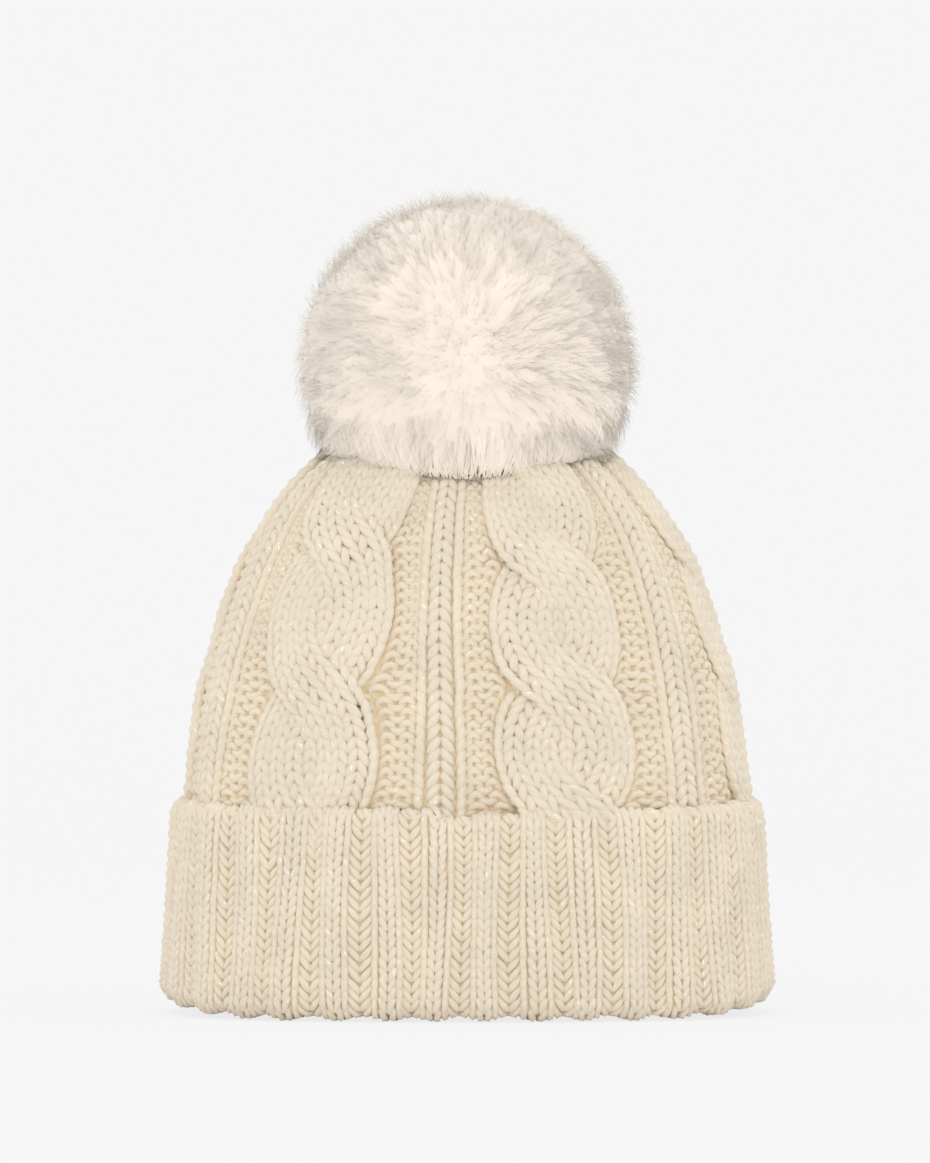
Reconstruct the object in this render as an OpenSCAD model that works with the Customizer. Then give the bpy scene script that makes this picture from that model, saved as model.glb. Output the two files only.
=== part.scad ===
// Pom pom beanie, standing open on its turned-up cuff.
// Origin: centre of the fold at the bottom. +Z up, +X to the wearer's side, the front faces -Y.

/* [Cuff] */
// Width of the turned-up cuff at its fullest, just above the fold
cuff_width = 230.4; // [205:0.2:260]
// Depth of the turned-up cuff from front to back
cuff_depth = 163; // [145:1:200]
// Height of the turned-up cuff
cuff_height = 77; // [60:1:95]
// Thickness of the cuff's outer layer of ribbing
cuff_wall = 5.6; // [4:0.1:7]
// How far the cuff leans in between its fold and its cast-on edge
cuff_lean = 4.5; // [2:0.1:8]
// Radius of the fold's outer corner
fold_radius = 5; // [3:0.1:6]
// Thickness of the fold under the inner layer
fold_wall = 4.8; // [3.5:0.1:6]

/* [Body] */
// Height of the knitted crown above the fold
crown_height = 220; // [195:1:250]
// Thickness of the cable knit and of the inner layer of ribbing
knit_wall = 5.4; // [4:0.1:6.5]
// Height at which the ribbing changes to cable knit, behind the cuff
rib_end = 58; // [45:1:58]
// Squareness of the hat's outline seen from above (2 is an ellipse)
outline_power = 2.5; // [2:0.1:3]
// How late the crown starts to round over
crown_power = 1.6; // [1.3:0.05:2]
// Gap between layers of knitting
layer_gap = 0.4; // [0.3:0.1:1]

/* [Crown closing] */
// Radius of the hole that the gathered stitches leave at the crown
gather_hole_r = 6; // [5.5:0.1:7]
// Thickness of the yarn that gathers the crown
gather_yarn = 2.4; // [1.6:0.1:2.6]
// Radius of the felt disc behind the crown
backing_r = 14; // [11:0.5:17]
// Thickness of the felt disc behind the crown
backing_t = 1.2; // [0.8:0.1:2]
// Distance of the joining seam from the middle of the front
seam_x = 12; // [0:1:30]
// Width of the joining seam's ridge
seam_w = 5; // [3:0.5:8]
// Thickness of the joining seam's ridge
seam_t = 2; // [1:0.1:3]

/* [Press stud] */
// Radius of the press stud's round head
stud_r = 3.02; // [2.5:0.01:3.6]
// Clearance between the stud's head, the socket's bore and the spring
stud_fit = 0.07; // [0.03:0.01:0.1]
// Outer radius of the socket
socket_r = 8; // [7:0.1:9]
// Height of the socket
socket_h = 4.6; // [4.4:0.1:6]
// Radius of the rivet caps and of the stud's flange
cap_r = 7; // [6:0.1:7.5]
// Thickness of the rivet caps, the stud's flange and the socket's floor
snap_sheet = 1; // [0.8:0.1:1.4]
// Radius of the rivet posts
post_r = 1.2; // [0.9:0.05:1.4]
// Running clearance round posts and between stacked faces
seat_gap = 0.2; // [0.1:0.05:0.3]

/* [Pom pom] */
// Outer radius of the fur
fur_r = 64; // [50:1:75]
// Radius of the stuffed ball that the fur is woven into
core_r = 24; // [20:0.5:30]
// Thickness of the fur's woven backing
backing_wall = 1.1; // [0.8:0.1:2]
// Radius of the felt patch that closes the ball
patch_r = 19.5; // [15:0.5:19.5]
// Thickness of the felt patch
patch_t = 1.5; // [1:0.1:2.5]
// Angle that the pom pom nods to either side, degrees
nod_angle = 10; // [0:1:10]
// Thickness of the thread that draws the backing together
gather_thread = 0.9; // [0.5:0.1:1]

/* [Hidden] */

knit_colour = [0.90, 0.85, 0.76];
rib_colour = [0.88, 0.83, 0.74];
fur_colour = [0.93, 0.89, 0.84];
felt_colour = [0.86, 0.80, 0.70];
metal_colour = [0.72, 0.71, 0.68];

$fn = 64;
outline_steps = 72;
arc_steps = 6;
crown_steps = 16;

half_w = cuff_width / 2;
half_d = cuff_depth / 2;
band_inset = cuff_wall + layer_gap;
body_inset = band_inset + cuff_lean;
body_half_w = half_w - body_inset;
body_half_d = half_d - body_inset;
crown_rise = crown_height - cuff_height;

// Exponent of the crown's shoulder: with crown_power it gives the profile from cuff to gather
shoulder_exponent = 0.33;
// The last ring of the dome before the round gathered hole, degrees along the profile
dome_end = 88;

// How far the crown's lining has fallen away at the felt disc's rim, front and back
backing_share = backing_r / (body_half_d - knit_wall);
backing_fall = (crown_rise - knit_wall)
    * (1 - crown_level(acos(pow(backing_share, 1 / (2 * shoulder_exponent)))));
backing_top = crown_height - knit_wall - backing_fall - 3 * seat_gap;
inner_cap_top = backing_top - backing_t;

// Heights of the press stud and of what is riveted to it, from the crown up
socket_z = crown_height + seat_gap;
socket_floor = socket_z + snap_sheet;
socket_top = socket_z + socket_h;
spring_h = 1;
spring_z = socket_floor + 1.1;
spring_wall = 1.3;
groove_gap = 0.1;
head_h = 0.8;
head_z = socket_floor + seat_gap;
neck_r = stud_r - 0.3;
flange_z = socket_top + 0.3;
patch_z = flange_z + snap_sheet + 0.1;
outer_cap_z = patch_z + patch_t + 0.1;
nod_z = outer_cap_z + snap_sheet;
nod_gap = 0.4;
ball_z = nod_z + nod_gap;
ball_slope = tan(nod_angle + 2);
ball_seat_r = 20;
core_z = ball_z + sqrt(pow(core_r, 2) - pow(ball_seat_r, 2));
fur_gap = 0.3;
fur_bottom = crown_height + 4;
fur_recess_r = ball_seat_r + 3;

// ---------- outline and shells ----------

// A point on the hat's outline, seen from above
function outline(a, b, t, p) = [
    a * sign(cos(t)) * pow(abs(cos(t)), 2 / p),
    b * sign(sin(t)) * pow(abs(sin(t)), 2 / p)
];

function ring(a, b, z, p = outline_power) = [
    for (i = [0:outline_steps - 1])
        let (q = outline(a, b, 360 * i / outline_steps, p)) [q[0], q[1], z]
];

// A ring set in by s from the cuff's fullest outline
function cuff_ring(s, z) = ring(half_w - s, half_d - s, z);

// Points of an arc about [s, z] from angle a0 to a1
function arc(s, z, r, a0, a1) = [
    for (i = [0:arc_steps])
        let (t = a0 + (a1 - a0) * i / arc_steps) [s + r * cos(t), z + r * sin(t)]
];

// How far the cuff and the layer behind it lean in at height z
function lean(z) = cuff_lean * min(z, cuff_height) / cuff_height;

// A closed shell through rings that run up the outside and down the inside
module shell(rings) {
    n = outline_steps;
    m = len(rings);
    faces = [
        for (i = [0:m - 1]) for (j = [0:n - 1])
            let (k = (i + 1) % m, l = (j + 1) % n)
                for (half = [0, 1])
                    half == 0 ? [i * n + j, k * n + j, k * n + l]
                              : [i * n + j, k * n + l, i * n + l]
    ];
    polyhedron(points = [for (r = rings) each r], faces = faces);
}

// Share of the width and depth that is left at angle t along the crown's profile
function crown_share(t) = pow(cos(t), 2 * shoulder_exponent);
function crown_level(t) = pow(sin(t), 2 / crown_power);

// One surface of the crown: half width, half depth and rise over the cuff
function crown_rings(a, b, rise) = [
    for (i = [0:crown_steps])
        let (t = dome_end * i / crown_steps)
            ring(a * crown_share(t), b * crown_share(t), cuff_height + rise * crown_level(t))
];

function reversed(list) = [for (i = [len(list) - 1:-1:0]) list[i]];

// ---------- the knitted hat ----------

module cable_knit_body() {
    inner = body_inset + knit_wall;
    top = crown_height - knit_wall;
    color(knit_colour)
        shell(concat(
            [cuff_ring(band_inset + lean(rib_end), rib_end)],
            crown_rings(body_half_w, body_half_d, crown_rise),
            [ring(gather_hole_r, gather_hole_r, crown_height, 2)],
            [ring(gather_hole_r, gather_hole_r, top, 2)],
            reversed(crown_rings(half_w - inner, half_d - inner, crown_rise - knit_wall)),
            [cuff_ring(band_inset + knit_wall + lean(rib_end), rib_end)]
        ));
}

module inner_rib_band() {
    bottom = fold_wall + layer_gap;
    color(rib_colour)
        shell([
            cuff_ring(band_inset + lean(bottom), bottom),
            cuff_ring(band_inset + lean(rib_end), rib_end),
            cuff_ring(band_inset + knit_wall + lean(rib_end), rib_end),
            cuff_ring(band_inset + knit_wall + lean(bottom), bottom)
        ]);
}

// The outer layer and the fold that it turns up from
module turned_up_cuff() {
    edge_r = cuff_wall / 2;
    edge_z = cuff_height - edge_r;
    fold_end = band_inset + knit_wall;
    inner_r = fold_wall / 2;
    section = concat(
        arc(fold_radius, fold_radius, fold_radius, 270, 180),
        arc(lean(edge_z) + edge_r, edge_z, edge_r, 180, 0),
        [[cuff_wall + lean(fold_wall), fold_wall]],
        arc(fold_end - inner_r, inner_r, inner_r, 90, -90)
    );
    color(rib_colour)
        shell([for (q = section) cuff_ring(q[0], q[1])]);
}

// Ridge of the two selvedges, sewn together down the inside of the front
module joining_seam() {
    low = fold_wall + 2 * layer_gap;
    high = cuff_height + 0.78 * (crown_rise - knit_wall);
    stations = 24;
    inset = band_inset + knit_wall;
    // Share of the inner half width and depth left at height z
    function inner_share(z) = z <= cuff_height ? 1
        : pow(1 - pow((z - cuff_height) / (crown_rise - knit_wall), crown_power), shoulder_exponent);
    function inner_a(z) = (half_w - inset - lean(z)) * inner_share(z);
    function inner_b(z) = (half_d - inset - lean(z)) * inner_share(z);
    edge_x = seam_x + seam_w / 2;
    seam_gap = 0.5;
    function wall_y(z) = -inner_b(z)
        * pow(1 - pow(edge_x / inner_a(z), outline_power), 1 / outline_power) + seam_gap;
    levels = [for (i = [0:stations]) low + (high - low) * i / stations];
    points = [
        for (z = levels) each [
            [-edge_x, wall_y(z), z], [seam_w - edge_x, wall_y(z), z],
            [seam_w - edge_x, wall_y(z) + seam_t, z], [-edge_x, wall_y(z) + seam_t, z]
        ]
    ];
    sides = [
        for (i = [0:stations - 1]) for (j = [0:3])
            let (a = 4 * i + j, b = 4 * i + (j + 1) % 4)
                for (half = [0, 1]) half == 0 ? [a, a + 4, b + 4] : [a, b + 4, b]
    ];
    last = 4 * stations;
    ends = [[0, 1, 2], [0, 2, 3], [last, last + 2, last + 1], [last, last + 3, last + 2]];
    color(rib_colour)
        polyhedron(points = points, faces = concat(sides, ends));
}

// ---------- the crown's closing ----------

module torus(major, minor, z) {
    translate([0, 0, z])
        rotate_extrude() translate([major, 0]) circle(minor);
}

module crown_gather_yarn() {
    major = gather_hole_r - seat_gap - gather_yarn / 2;
    color(knit_colour)
        torus(major, gather_yarn / 2, crown_height - knit_wall / 2);
}

module crown_backing_disc() {
    color(felt_colour)
        translate([0, 0, inner_cap_top])
            difference() {
                cylinder(r = backing_r, h = backing_t);
                translate([0, 0, -1]) cylinder(r = post_r + seat_gap, h = backing_t + 2);
            }
}

// Rivet cap inside the crown, with the post that holds the socket
module snap_cap_inner() {
    cap_z = inner_cap_top - snap_sheet;
    color(metal_colour)
        translate([0, 0, cap_z])
            rotate_extrude()
                polygon([
                    [0, 0], [cap_r - 0.4, 0], [cap_r, 0.4], [cap_r, snap_sheet],
                    [post_r, snap_sheet], [post_r, socket_floor - cap_z], [0, socket_floor - cap_z]
                ]);
}

// ---------- the press stud ----------

module snap_socket() {
    bore_r = stud_r + stud_fit;
    groove_r = bore_r + spring_wall + groove_gap;
    low = spring_z - socket_z - groove_gap;
    high = spring_z - socket_z + spring_h + groove_gap;
    color(metal_colour)
        translate([0, 0, socket_z])
            rotate_extrude()
                polygon([
                    [post_r + 0.05, 0], [socket_r - 0.5, 0], [socket_r, 0.5],
                    [socket_r, snap_sheet], [groove_r + 1.6, snap_sheet + 0.6],
                    [groove_r + 1.2, socket_h], [bore_r, socket_h], [bore_r, high],
                    [groove_r, high], [groove_r, low], [bore_r, low],
                    [bore_r, snap_sheet], [post_r + 0.05, snap_sheet]
                ]);
}

module snap_spring_ring() {
    inner = stud_r + stud_fit;
    color(metal_colour)
        translate([0, 0, spring_z])
            rotate_extrude()
                translate([inner, 0]) square([spring_wall, spring_h]);
}

module snap_stud() {
    height = flange_z + snap_sheet - head_z;
    flange = flange_z - head_z;
    color(metal_colour)
        translate([0, 0, head_z])
            rotate_extrude()
                polygon([
                    [post_r + 0.05, 0], [stud_r - 0.4, 0], [stud_r, 0.3], [stud_r, head_h - 0.2],
                    [neck_r, head_h], [neck_r, flange], [cap_r - 0.3, flange],
                    [cap_r, flange + 0.3], [cap_r, height], [post_r + 0.05, height]
                ]);
}

// ---------- the pom pom ----------

module pom_base_patch() {
    color(felt_colour)
        translate([0, 0, patch_z])
            difference() {
                cylinder(r = patch_r, h = patch_t);
                translate([0, 0, -1]) cylinder(r = post_r + seat_gap, h = patch_t + 2);
            }
}

// Rivet cap inside the pom pom, with the post that holds the stud
module snap_cap_pom() {
    post = outer_cap_z - head_z - 0.3;
    color(metal_colour)
        translate([0, 0, outer_cap_z])
            rotate_extrude()
                polygon([
                    [0, -post], [post_r, -post], [post_r, 0], [cap_r, 0],
                    [cap_r, snap_sheet - 0.3], [cap_r - 0.3, snap_sheet], [0, snap_sheet]
                ]);
}

// A ball about the pom pom's middle, cut off below by the cone that it rocks on
module rocking_ball(r, lift) {
    drop = ball_slope * 2 * r;
    difference() {
        translate([0, 0, core_z]) sphere(r);
        translate([0, 0, ball_z + lift])
            rotate_extrude()
                polygon([[0, 0], [2 * r, drop], [2 * r, -2 * r], [0, -2 * r]]);
    }
}

module pom_filling() {
    color("white") rocking_ball(core_r - backing_wall - 0.1, backing_wall + 0.1);
}

module pom_backing_fabric() {
    color(felt_colour)
        difference() {
            rocking_ball(core_r, 0);
            rocking_ball(core_r - backing_wall, backing_wall);
        }
}

module pom_gather_thread() {
    r = gather_thread / 2;
    major = ball_seat_r + 1.6;
    reach = core_r + r + 0.1;
    color(felt_colour) torus(major, r, core_z - sqrt(pow(reach, 2) - pow(major, 2)));
}

module pom_fur() {
    color(fur_colour)
        difference() {
            translate([0, 0, core_z]) sphere(fur_r);
            translate([0, 0, core_z]) sphere(core_r + fur_gap);
            translate([0, 0, fur_bottom - 2 * fur_r])
                cylinder(r = 2 * fur_r, h = 2 * fur_r);
            translate([0, 0, fur_bottom - 1])
                cylinder(r = fur_recess_r, h = core_z - fur_bottom);
        }
}

cable_knit_body();
inner_rib_band();
turned_up_cuff();
joining_seam();
crown_gather_yarn();
crown_backing_disc();
snap_cap_inner();
snap_socket();
snap_spring_ring();
snap_stud();
pom_base_patch();
snap_cap_pom();
pom_filling();
pom_backing_fabric();
pom_gather_thread();
pom_fur();
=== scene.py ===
"""Pom pom beanie: yarn-level cable knit, a turned-up ribbed cuff and a faux-fur pom pom."""

import math

import bpy
import numpy as np
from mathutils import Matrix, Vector


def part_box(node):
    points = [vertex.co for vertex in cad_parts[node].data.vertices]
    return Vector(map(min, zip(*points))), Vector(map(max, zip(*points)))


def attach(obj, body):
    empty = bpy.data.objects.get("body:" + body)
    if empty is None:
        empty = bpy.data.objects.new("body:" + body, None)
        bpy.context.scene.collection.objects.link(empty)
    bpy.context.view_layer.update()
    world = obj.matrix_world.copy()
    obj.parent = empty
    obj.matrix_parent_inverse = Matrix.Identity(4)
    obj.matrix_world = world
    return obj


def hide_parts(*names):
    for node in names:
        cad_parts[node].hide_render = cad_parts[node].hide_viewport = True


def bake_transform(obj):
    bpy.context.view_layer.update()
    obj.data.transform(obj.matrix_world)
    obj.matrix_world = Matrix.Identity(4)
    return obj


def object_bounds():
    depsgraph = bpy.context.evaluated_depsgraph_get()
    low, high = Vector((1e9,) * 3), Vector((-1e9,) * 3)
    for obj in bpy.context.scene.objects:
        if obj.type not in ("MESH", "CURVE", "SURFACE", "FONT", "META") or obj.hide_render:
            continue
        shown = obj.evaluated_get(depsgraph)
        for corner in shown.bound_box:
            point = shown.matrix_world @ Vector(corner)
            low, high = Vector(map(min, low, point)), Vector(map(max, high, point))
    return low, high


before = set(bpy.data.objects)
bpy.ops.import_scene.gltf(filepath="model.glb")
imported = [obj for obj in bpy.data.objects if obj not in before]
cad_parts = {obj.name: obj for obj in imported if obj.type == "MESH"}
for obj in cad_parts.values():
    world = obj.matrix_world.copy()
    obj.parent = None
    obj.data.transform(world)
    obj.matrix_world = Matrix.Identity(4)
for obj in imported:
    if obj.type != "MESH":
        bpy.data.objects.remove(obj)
cad_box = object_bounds()

bl_info = {
    "name": "Pom Pom Beanie",
    "version": (1, 0, 0),
    "blender": (4, 5, 0),
    "location": "3D View > Sidebar > Beanie",
    "description": "Knits a cable beanie stitch by stitch and puts a fur pom pom on it",
    "category": "Add Mesh",
}

MM = 0.001
TURN = 2 * math.pi

# The hat's shell, as the frame holds it
_, cuff_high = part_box("turned_up_cuff")
body_low, body_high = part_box("cable_knit_body")
seam_low, seam_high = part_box("joining_seam")
fur_low, fur_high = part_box("pom_fur")
CUFF_HALF_W, CUFF_HALF_D = cuff_high.x, cuff_high.y
CUFF_TOP = cuff_high.z
RIB_END = body_low.z
CROWN_TOP = body_high.z
LAYER_INSET = 6.0 * MM  # the cuff's wall and the gap behind it
CUFF_LEAN = 4.5 * MM  # how far the walls lean in by the top of the cuff
KNIT_WALL = 5.4 * MM  # thickness of the knitting
OUTLINE_POWER = 2.5  # squareness of the outline seen from above
CROWN_EXPONENT = 0.33  # how squarely the crown rounds over
CROWN_POWER = 1.6  # and how pointed it is at the top
SEAM_X = (seam_low.x + seam_high.x) / 2
FUR_RADIUS = (fur_high.x - fur_low.x) / 2
POM_MIDDLE = np.array((0, 0, fur_high.z - FUR_RADIUS))


# ---------------------------------------------------------------- settings


class YarnSettings(bpy.types.PropertyGroup):
    """Sizes of the yarn and its stitches"""

    body_row: bpy.props.FloatProperty(
        name="Body Row Height", description="Height of one row of the cable knit",
        default=4.3 * MM, min=0.002, max=0.01, unit="LENGTH")
    body_yarn: bpy.props.FloatProperty(
        name="Body Yarn Radius", description="Radius of the yarn in the cable knit",
        default=1.75 * MM, min=0.0005, max=0.004, unit="LENGTH")
    rib_row: bpy.props.FloatProperty(
        name="Rib Row Height", description="Height of one row of the ribbing",
        default=3.7 * MM, min=0.002, max=0.01, unit="LENGTH")
    rib_yarn: bpy.props.FloatProperty(
        name="Rib Yarn Radius", description="Radius of the yarn in the ribbing",
        default=1.3 * MM, min=0.0005, max=0.004, unit="LENGTH")
    body_repeats: bpy.props.IntProperty(
        name="Cable Repeats", description="Number of cables round the hat",
        default=6, min=3, max=10)
    rib_repeats: bpy.props.IntProperty(
        name="Rib Repeats", description="Number of knit and purl pairs round the cuff",
        default=34, min=10, max=60)
    cable_rise: bpy.props.FloatProperty(
        name="Cable Rise", description="How far the front strand stands up at a crossing",
        default=2.6 * MM, min=0, max=0.006, unit="LENGTH")
    unevenness: bpy.props.FloatProperty(
        name="Unevenness", description="How far the stitches stray from a perfect grid",
        default=1.0, min=0, max=3)


class ColourSettings(bpy.types.PropertyGroup):
    """Colours of the yarn, the fur and the stage"""

    yarn: bpy.props.FloatVectorProperty(
        name="Yarn", description="Colour of the yarn on the face of the knitting",
        default=(0.785, 0.695, 0.56), min=0, max=1, size=3, subtype="COLOR")
    # Painted shade: the darker, warmer colour that the yarn takes where it lies low between the ribs, and the
    # colour of the web in the gaps
    yarn_painted_shade: bpy.props.FloatVectorProperty(
        name="Yarn In Recesses", description="Colour of the yarn between the ribs",
        default=(0.82, 0.66, 0.43), min=0, max=1, size=3, subtype="COLOR")
    fur: bpy.props.FloatVectorProperty(
        name="Fur", description="Colour of the fur's tips",
        default=(0.995, 0.93, 0.83), min=0, max=1, size=3, subtype="COLOR")
    fur_root: bpy.props.FloatVectorProperty(
        name="Fur Roots", description="Colour of the fur near its backing",
        default=(0.94, 0.84, 0.72), min=0, max=1, size=3, subtype="COLOR")
    backdrop: bpy.props.FloatVectorProperty(
        name="Backdrop", description="Colour of the floor and the backdrop",
        default=(0.915, 0.915, 0.915), min=0, max=1, size=3, subtype="COLOR")


# ---------------------------------------------------------------- node trees


class Tree:
    """Short hand for building a node tree."""

    def __init__(self, tree):
        self.tree = tree
        self.column = 0

    def add(self, kind, settings=None, **inputs):
        """A node with its settings, and its inputs linked or set."""
        node = self.tree.nodes.new(kind)
        node.location = (220 * self.column, 0)
        self.column += 1
        for name, value in (settings or {}).items():
            setattr(node, name, value)
        for name, value in inputs.items():
            self.feed(node, name, value)
        return node

    def feed(self, node, name, value):
        key = int(name[1:]) if name[0] == "i" and name[1:].isdigit() else name.replace("_", " ")
        socket = node.inputs[key]
        if isinstance(value, bpy.types.NodeSocket):
            self.tree.links.new(value, socket)
        elif isinstance(value, bpy.types.Node):
            self.tree.links.new(value.outputs[0], socket)
        else:
            socket.default_value = value

    def math(self, operation, a, b=0.0, c=0.0):
        return self.add("ShaderNodeMath", {"operation": operation}, i0=a, i1=b, i2=c).outputs[0]

    def vector(self, operation, a, b=(0, 0, 0), scale=None):
        node = self.add("ShaderNodeVectorMath", {"operation": operation}, i0=a)
        if scale is not None:
            self.feed(node, "Scale", scale)
        else:
            self.feed(node, "i1", b)
        return node.outputs[1 if operation in ("LENGTH", "DISTANCE", "DOT_PRODUCT") else 0]

    def plus(self, a, b):
        return self.vector("ADD", a, b)

    def scaled(self, vector, scale):
        return self.vector("SCALE", vector, scale=scale)

    # Parts of Geometry Nodes trees

    def random(self, seed, low, high):
        """Random numbers between two numbers, or vectors between two vectors."""
        if isinstance(low, tuple):
            return self.add("FunctionNodeRandomValue", {"data_type": "FLOAT_VECTOR"},
                            i0=low, i1=high, Seed=seed).outputs[0]
        return self.add("FunctionNodeRandomValue", {"data_type": "FLOAT"},
                        i2=low, i3=high, Seed=seed).outputs[1]

    def named(self, name, kind="FLOAT"):
        """An attribute that is stored on the geometry."""
        return self.add("GeometryNodeInputNamedAttribute", {"data_type": kind}, Name=name).outputs[0]

    def store(self, geometry, name, value, kind="FLOAT", domain="POINT"):
        return self.add("GeometryNodeStoreNamedAttribute", {"data_type": kind, "domain": domain},
                        Geometry=geometry, Name=name, Value=value)

    def capture(self, geometry, name, value):
        node = self.add("GeometryNodeCaptureAttribute", {"domain": "POINT"}, Geometry=geometry)
        node.capture_items.new("FLOAT", name)
        self.feed(node, name, value)
        return node

    def sweep(self, curve, ring, width):
        """Sweeps a ring along curves, as wide as the width says."""
        thick = self.add("GeometryNodeSetCurveRadius", Curve=curve, Radius=width)
        mesh = self.add("GeometryNodeCurveToMesh", Curve=thick, Profile_Curve=ring, Fill_Caps=True)
        if "Scale" in mesh.inputs:
            self.feed(mesh, "Scale", width)
        return mesh

    def finish(self, mesh, plan, material):
        """Ends the tree with the mesh laid out flat for baking, smooth, real and with its material."""
        baked = self.store(mesh, "OFBake", plan, "FLOAT2", "CORNER")
        smooth = self.add("GeometryNodeSetShadeSmooth", Geometry=baked)
        real = self.add("GeometryNodeRealizeInstances", Geometry=smooth)
        paint = self.add("GeometryNodeSetMaterial", Geometry=real, Material=material)
        self.add("NodeGroupOutput", Geometry=paint)

    # Parts of material trees

    def place(self):
        return self.add("ShaderNodeTexCoord").outputs["Object"]

    def flat_place(self, name):
        """The two numbers of a UV map."""
        split = self.add("ShaderNodeSeparateXYZ", Vector=self.add("ShaderNodeUVMap", {"uv_map": name}))
        return split.outputs[0], split.outputs[1]

    def noise(self, place, scale, detail, **others):
        return self.add("ShaderNodeTexNoise", Vector=place, Scale=scale, Detail=detail, **others).outputs[0]

    def spread(self, value, low, high, to_low, to_high):
        """Stretches values between low and high to another range, and cuts off the rest."""
        return self.add("ShaderNodeMapRange", Value=value, i1=low, i2=high, i3=to_low, i4=to_high).outputs[0]

    def bump(self, height, strength, distance):
        return self.add("ShaderNodeBump", Height=height, Strength=strength, Distance=distance)

    def mix(self, factor, a, b, blend="MIX"):
        return self.add("ShaderNodeMix", {"data_type": "RGBA", "blend_type": blend},
                        i0=factor, i6=a, i7=b).outputs[2]

    def two_tones(self, factor, colour, dark):
        """A colour, and below it a dark share of the same."""
        return self.mix(factor, rgba([c * dark for c in colour]), rgba(colour))

    def surface(self, colour, roughness, **others):
        """Closes a material with its shader."""
        self.close(self.add("ShaderNodeBsdfPrincipled", Base_Color=colour, Roughness=roughness, **others))

    def close(self, shader):
        self.add("ShaderNodeOutputMaterial", Surface=shader)


def rgba(colour):
    return (*colour, 1.0)


def node_group(name, sockets):
    """A Geometry Nodes tree with its geometry sockets and the named inputs."""
    group = bpy.data.node_groups.new(name, "GeometryNodeTree")
    group.interface.new_socket("Geometry", in_out="INPUT", socket_type="NodeSocketGeometry")
    group.interface.new_socket("Geometry", in_out="OUTPUT", socket_type="NodeSocketGeometry")
    for label, kind, default in sockets:
        socket = group.interface.new_socket(label, in_out="INPUT", socket_type="NodeSocket" + kind)
        if default is not None:
            socket.default_value = default
    tree = Tree(group)
    inside = tree.add("NodeGroupInput")
    return group, tree, inside


def tube_tree():
    """Sweeps a round section along every edge path: yarn, thread or cord, with two UV maps."""
    group, tree, inside = node_group("Tube Along Path", [
        ("Sides", "Int", 6), ("Courses", "Float", 1.0), ("Material", "Material", None)])
    given = inside.outputs
    curve = tree.add("GeometryNodeMeshToCurve", Mesh=given["Geometry"])
    along = tree.capture(curve, "Length", tree.add("GeometryNodeSplineParameter").outputs["Length"])
    ring = tree.add("GeometryNodeCurvePrimitiveCircle", Resolution=given["Sides"], Radius=1.0)
    around = tree.math("DIVIDE", tree.add("GeometryNodeInputIndex"), given["Sides"])
    ring = tree.capture(ring, "Around", around)
    mesh = tree.sweep(along.outputs["Geometry"], ring.outputs["Geometry"], tree.named("width"))
    # The last face round each ring ends at a whole turn
    turn = ring.outputs["Around"]
    mean = tree.add("GeometryNodeFieldOnDomain", {"domain": "FACE", "data_type": "FLOAT"}, Value=turn)
    lag = tree.math("SUBTRACT", mean, turn)
    turn = tree.math("ADD", turn, tree.math("GREATER_THAN", lag, 0.25))
    plan = tree.add("ShaderNodeCombineXYZ", X=turn, Y=along.outputs["Length"])
    mesh = tree.store(mesh, "Yarn", plan, "FLOAT2", "CORNER")
    # Laid out for baking, the courses lie one above the other
    strip = tree.math("ADD", tree.math("MULTIPLY_ADD", turn, 0.9, 0.05), tree.named("course"))
    strip = tree.math("DIVIDE", strip, given["Courses"])
    strand = tree.math("MULTIPLY_ADD", tree.named("placed"), 0.99, 0.005)
    tree.finish(mesh, tree.add("ShaderNodeCombineXYZ", X=strand, Y=strip), given["Material"])
    return group


def run_tree(obj, group, values):
    """Runs a Geometry Nodes tree on obj, with its inputs set by identifier, and keeps the plain mesh."""
    modifier = obj.modifiers.new(group.name, "NODES")
    modifier.node_group = group
    for item in group.interface.items_tree:
        if item.item_type == "SOCKET" and item.in_out == "INPUT" and item.name in values:
            modifier[item.identifier] = values[item.name]
    depsgraph = bpy.context.evaluated_depsgraph_get()
    made = bpy.data.meshes.new_from_object(obj.evaluated_get(depsgraph), depsgraph=depsgraph)
    obj.modifiers.remove(modifier)
    old = obj.data
    obj.data = made
    made.name = obj.name
    bpy.data.meshes.remove(old)
    return obj


# ---------------------------------------------------------------- shapes


def link(obj):
    bpy.context.scene.collection.objects.link(obj)
    return obj


def paths_object(name, paths):
    """A mesh of edges only, from paths of (points, widths, tones and painted shade, course number, place
    along the course).
    """
    points = np.concatenate([p[0] for p in paths])
    mesh = bpy.data.meshes.new(name)
    mesh.vertices.add(len(points))
    mesh.vertices.foreach_set("co", points.astype(np.float32).ravel())
    first, edges = 0, []
    for path in paths:
        run = np.arange(first, first + len(path[0]))
        edges.append(np.stack([run[:-1], run[1:]], 1))
        first += len(run)
    edges = np.concatenate(edges)
    mesh.edges.add(len(edges))
    mesh.edges.foreach_set("vertices", edges.astype(np.int32).ravel())
    for label, column in (("width", 1), ("tone_and_shade", 2), ("course", 3), ("placed", 4)):
        values = [np.broadcast_to(p[column], len(p[0])) for p in paths]
        attribute = mesh.attributes.new(label, "FLOAT", "POINT")
        attribute.data.foreach_set("value", np.concatenate(values).astype(np.float32))
    return link(bpy.data.objects.new(name, mesh))


def put_points(mesh, points):
    mesh.vertices.foreach_set("co", points.astype(np.float32).ravel())
    mesh.update()


def mesh_points(mesh):
    points = np.empty(len(mesh.vertices) * 3, np.float32)
    mesh.vertices.foreach_get("co", points)
    return points.reshape(-1, 3).astype(float)


def reshape(obj, points, material):
    """Moves a piece's points and gives it its material."""
    put_points(obj.data, points)
    obj.data.materials.append(material)


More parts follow.
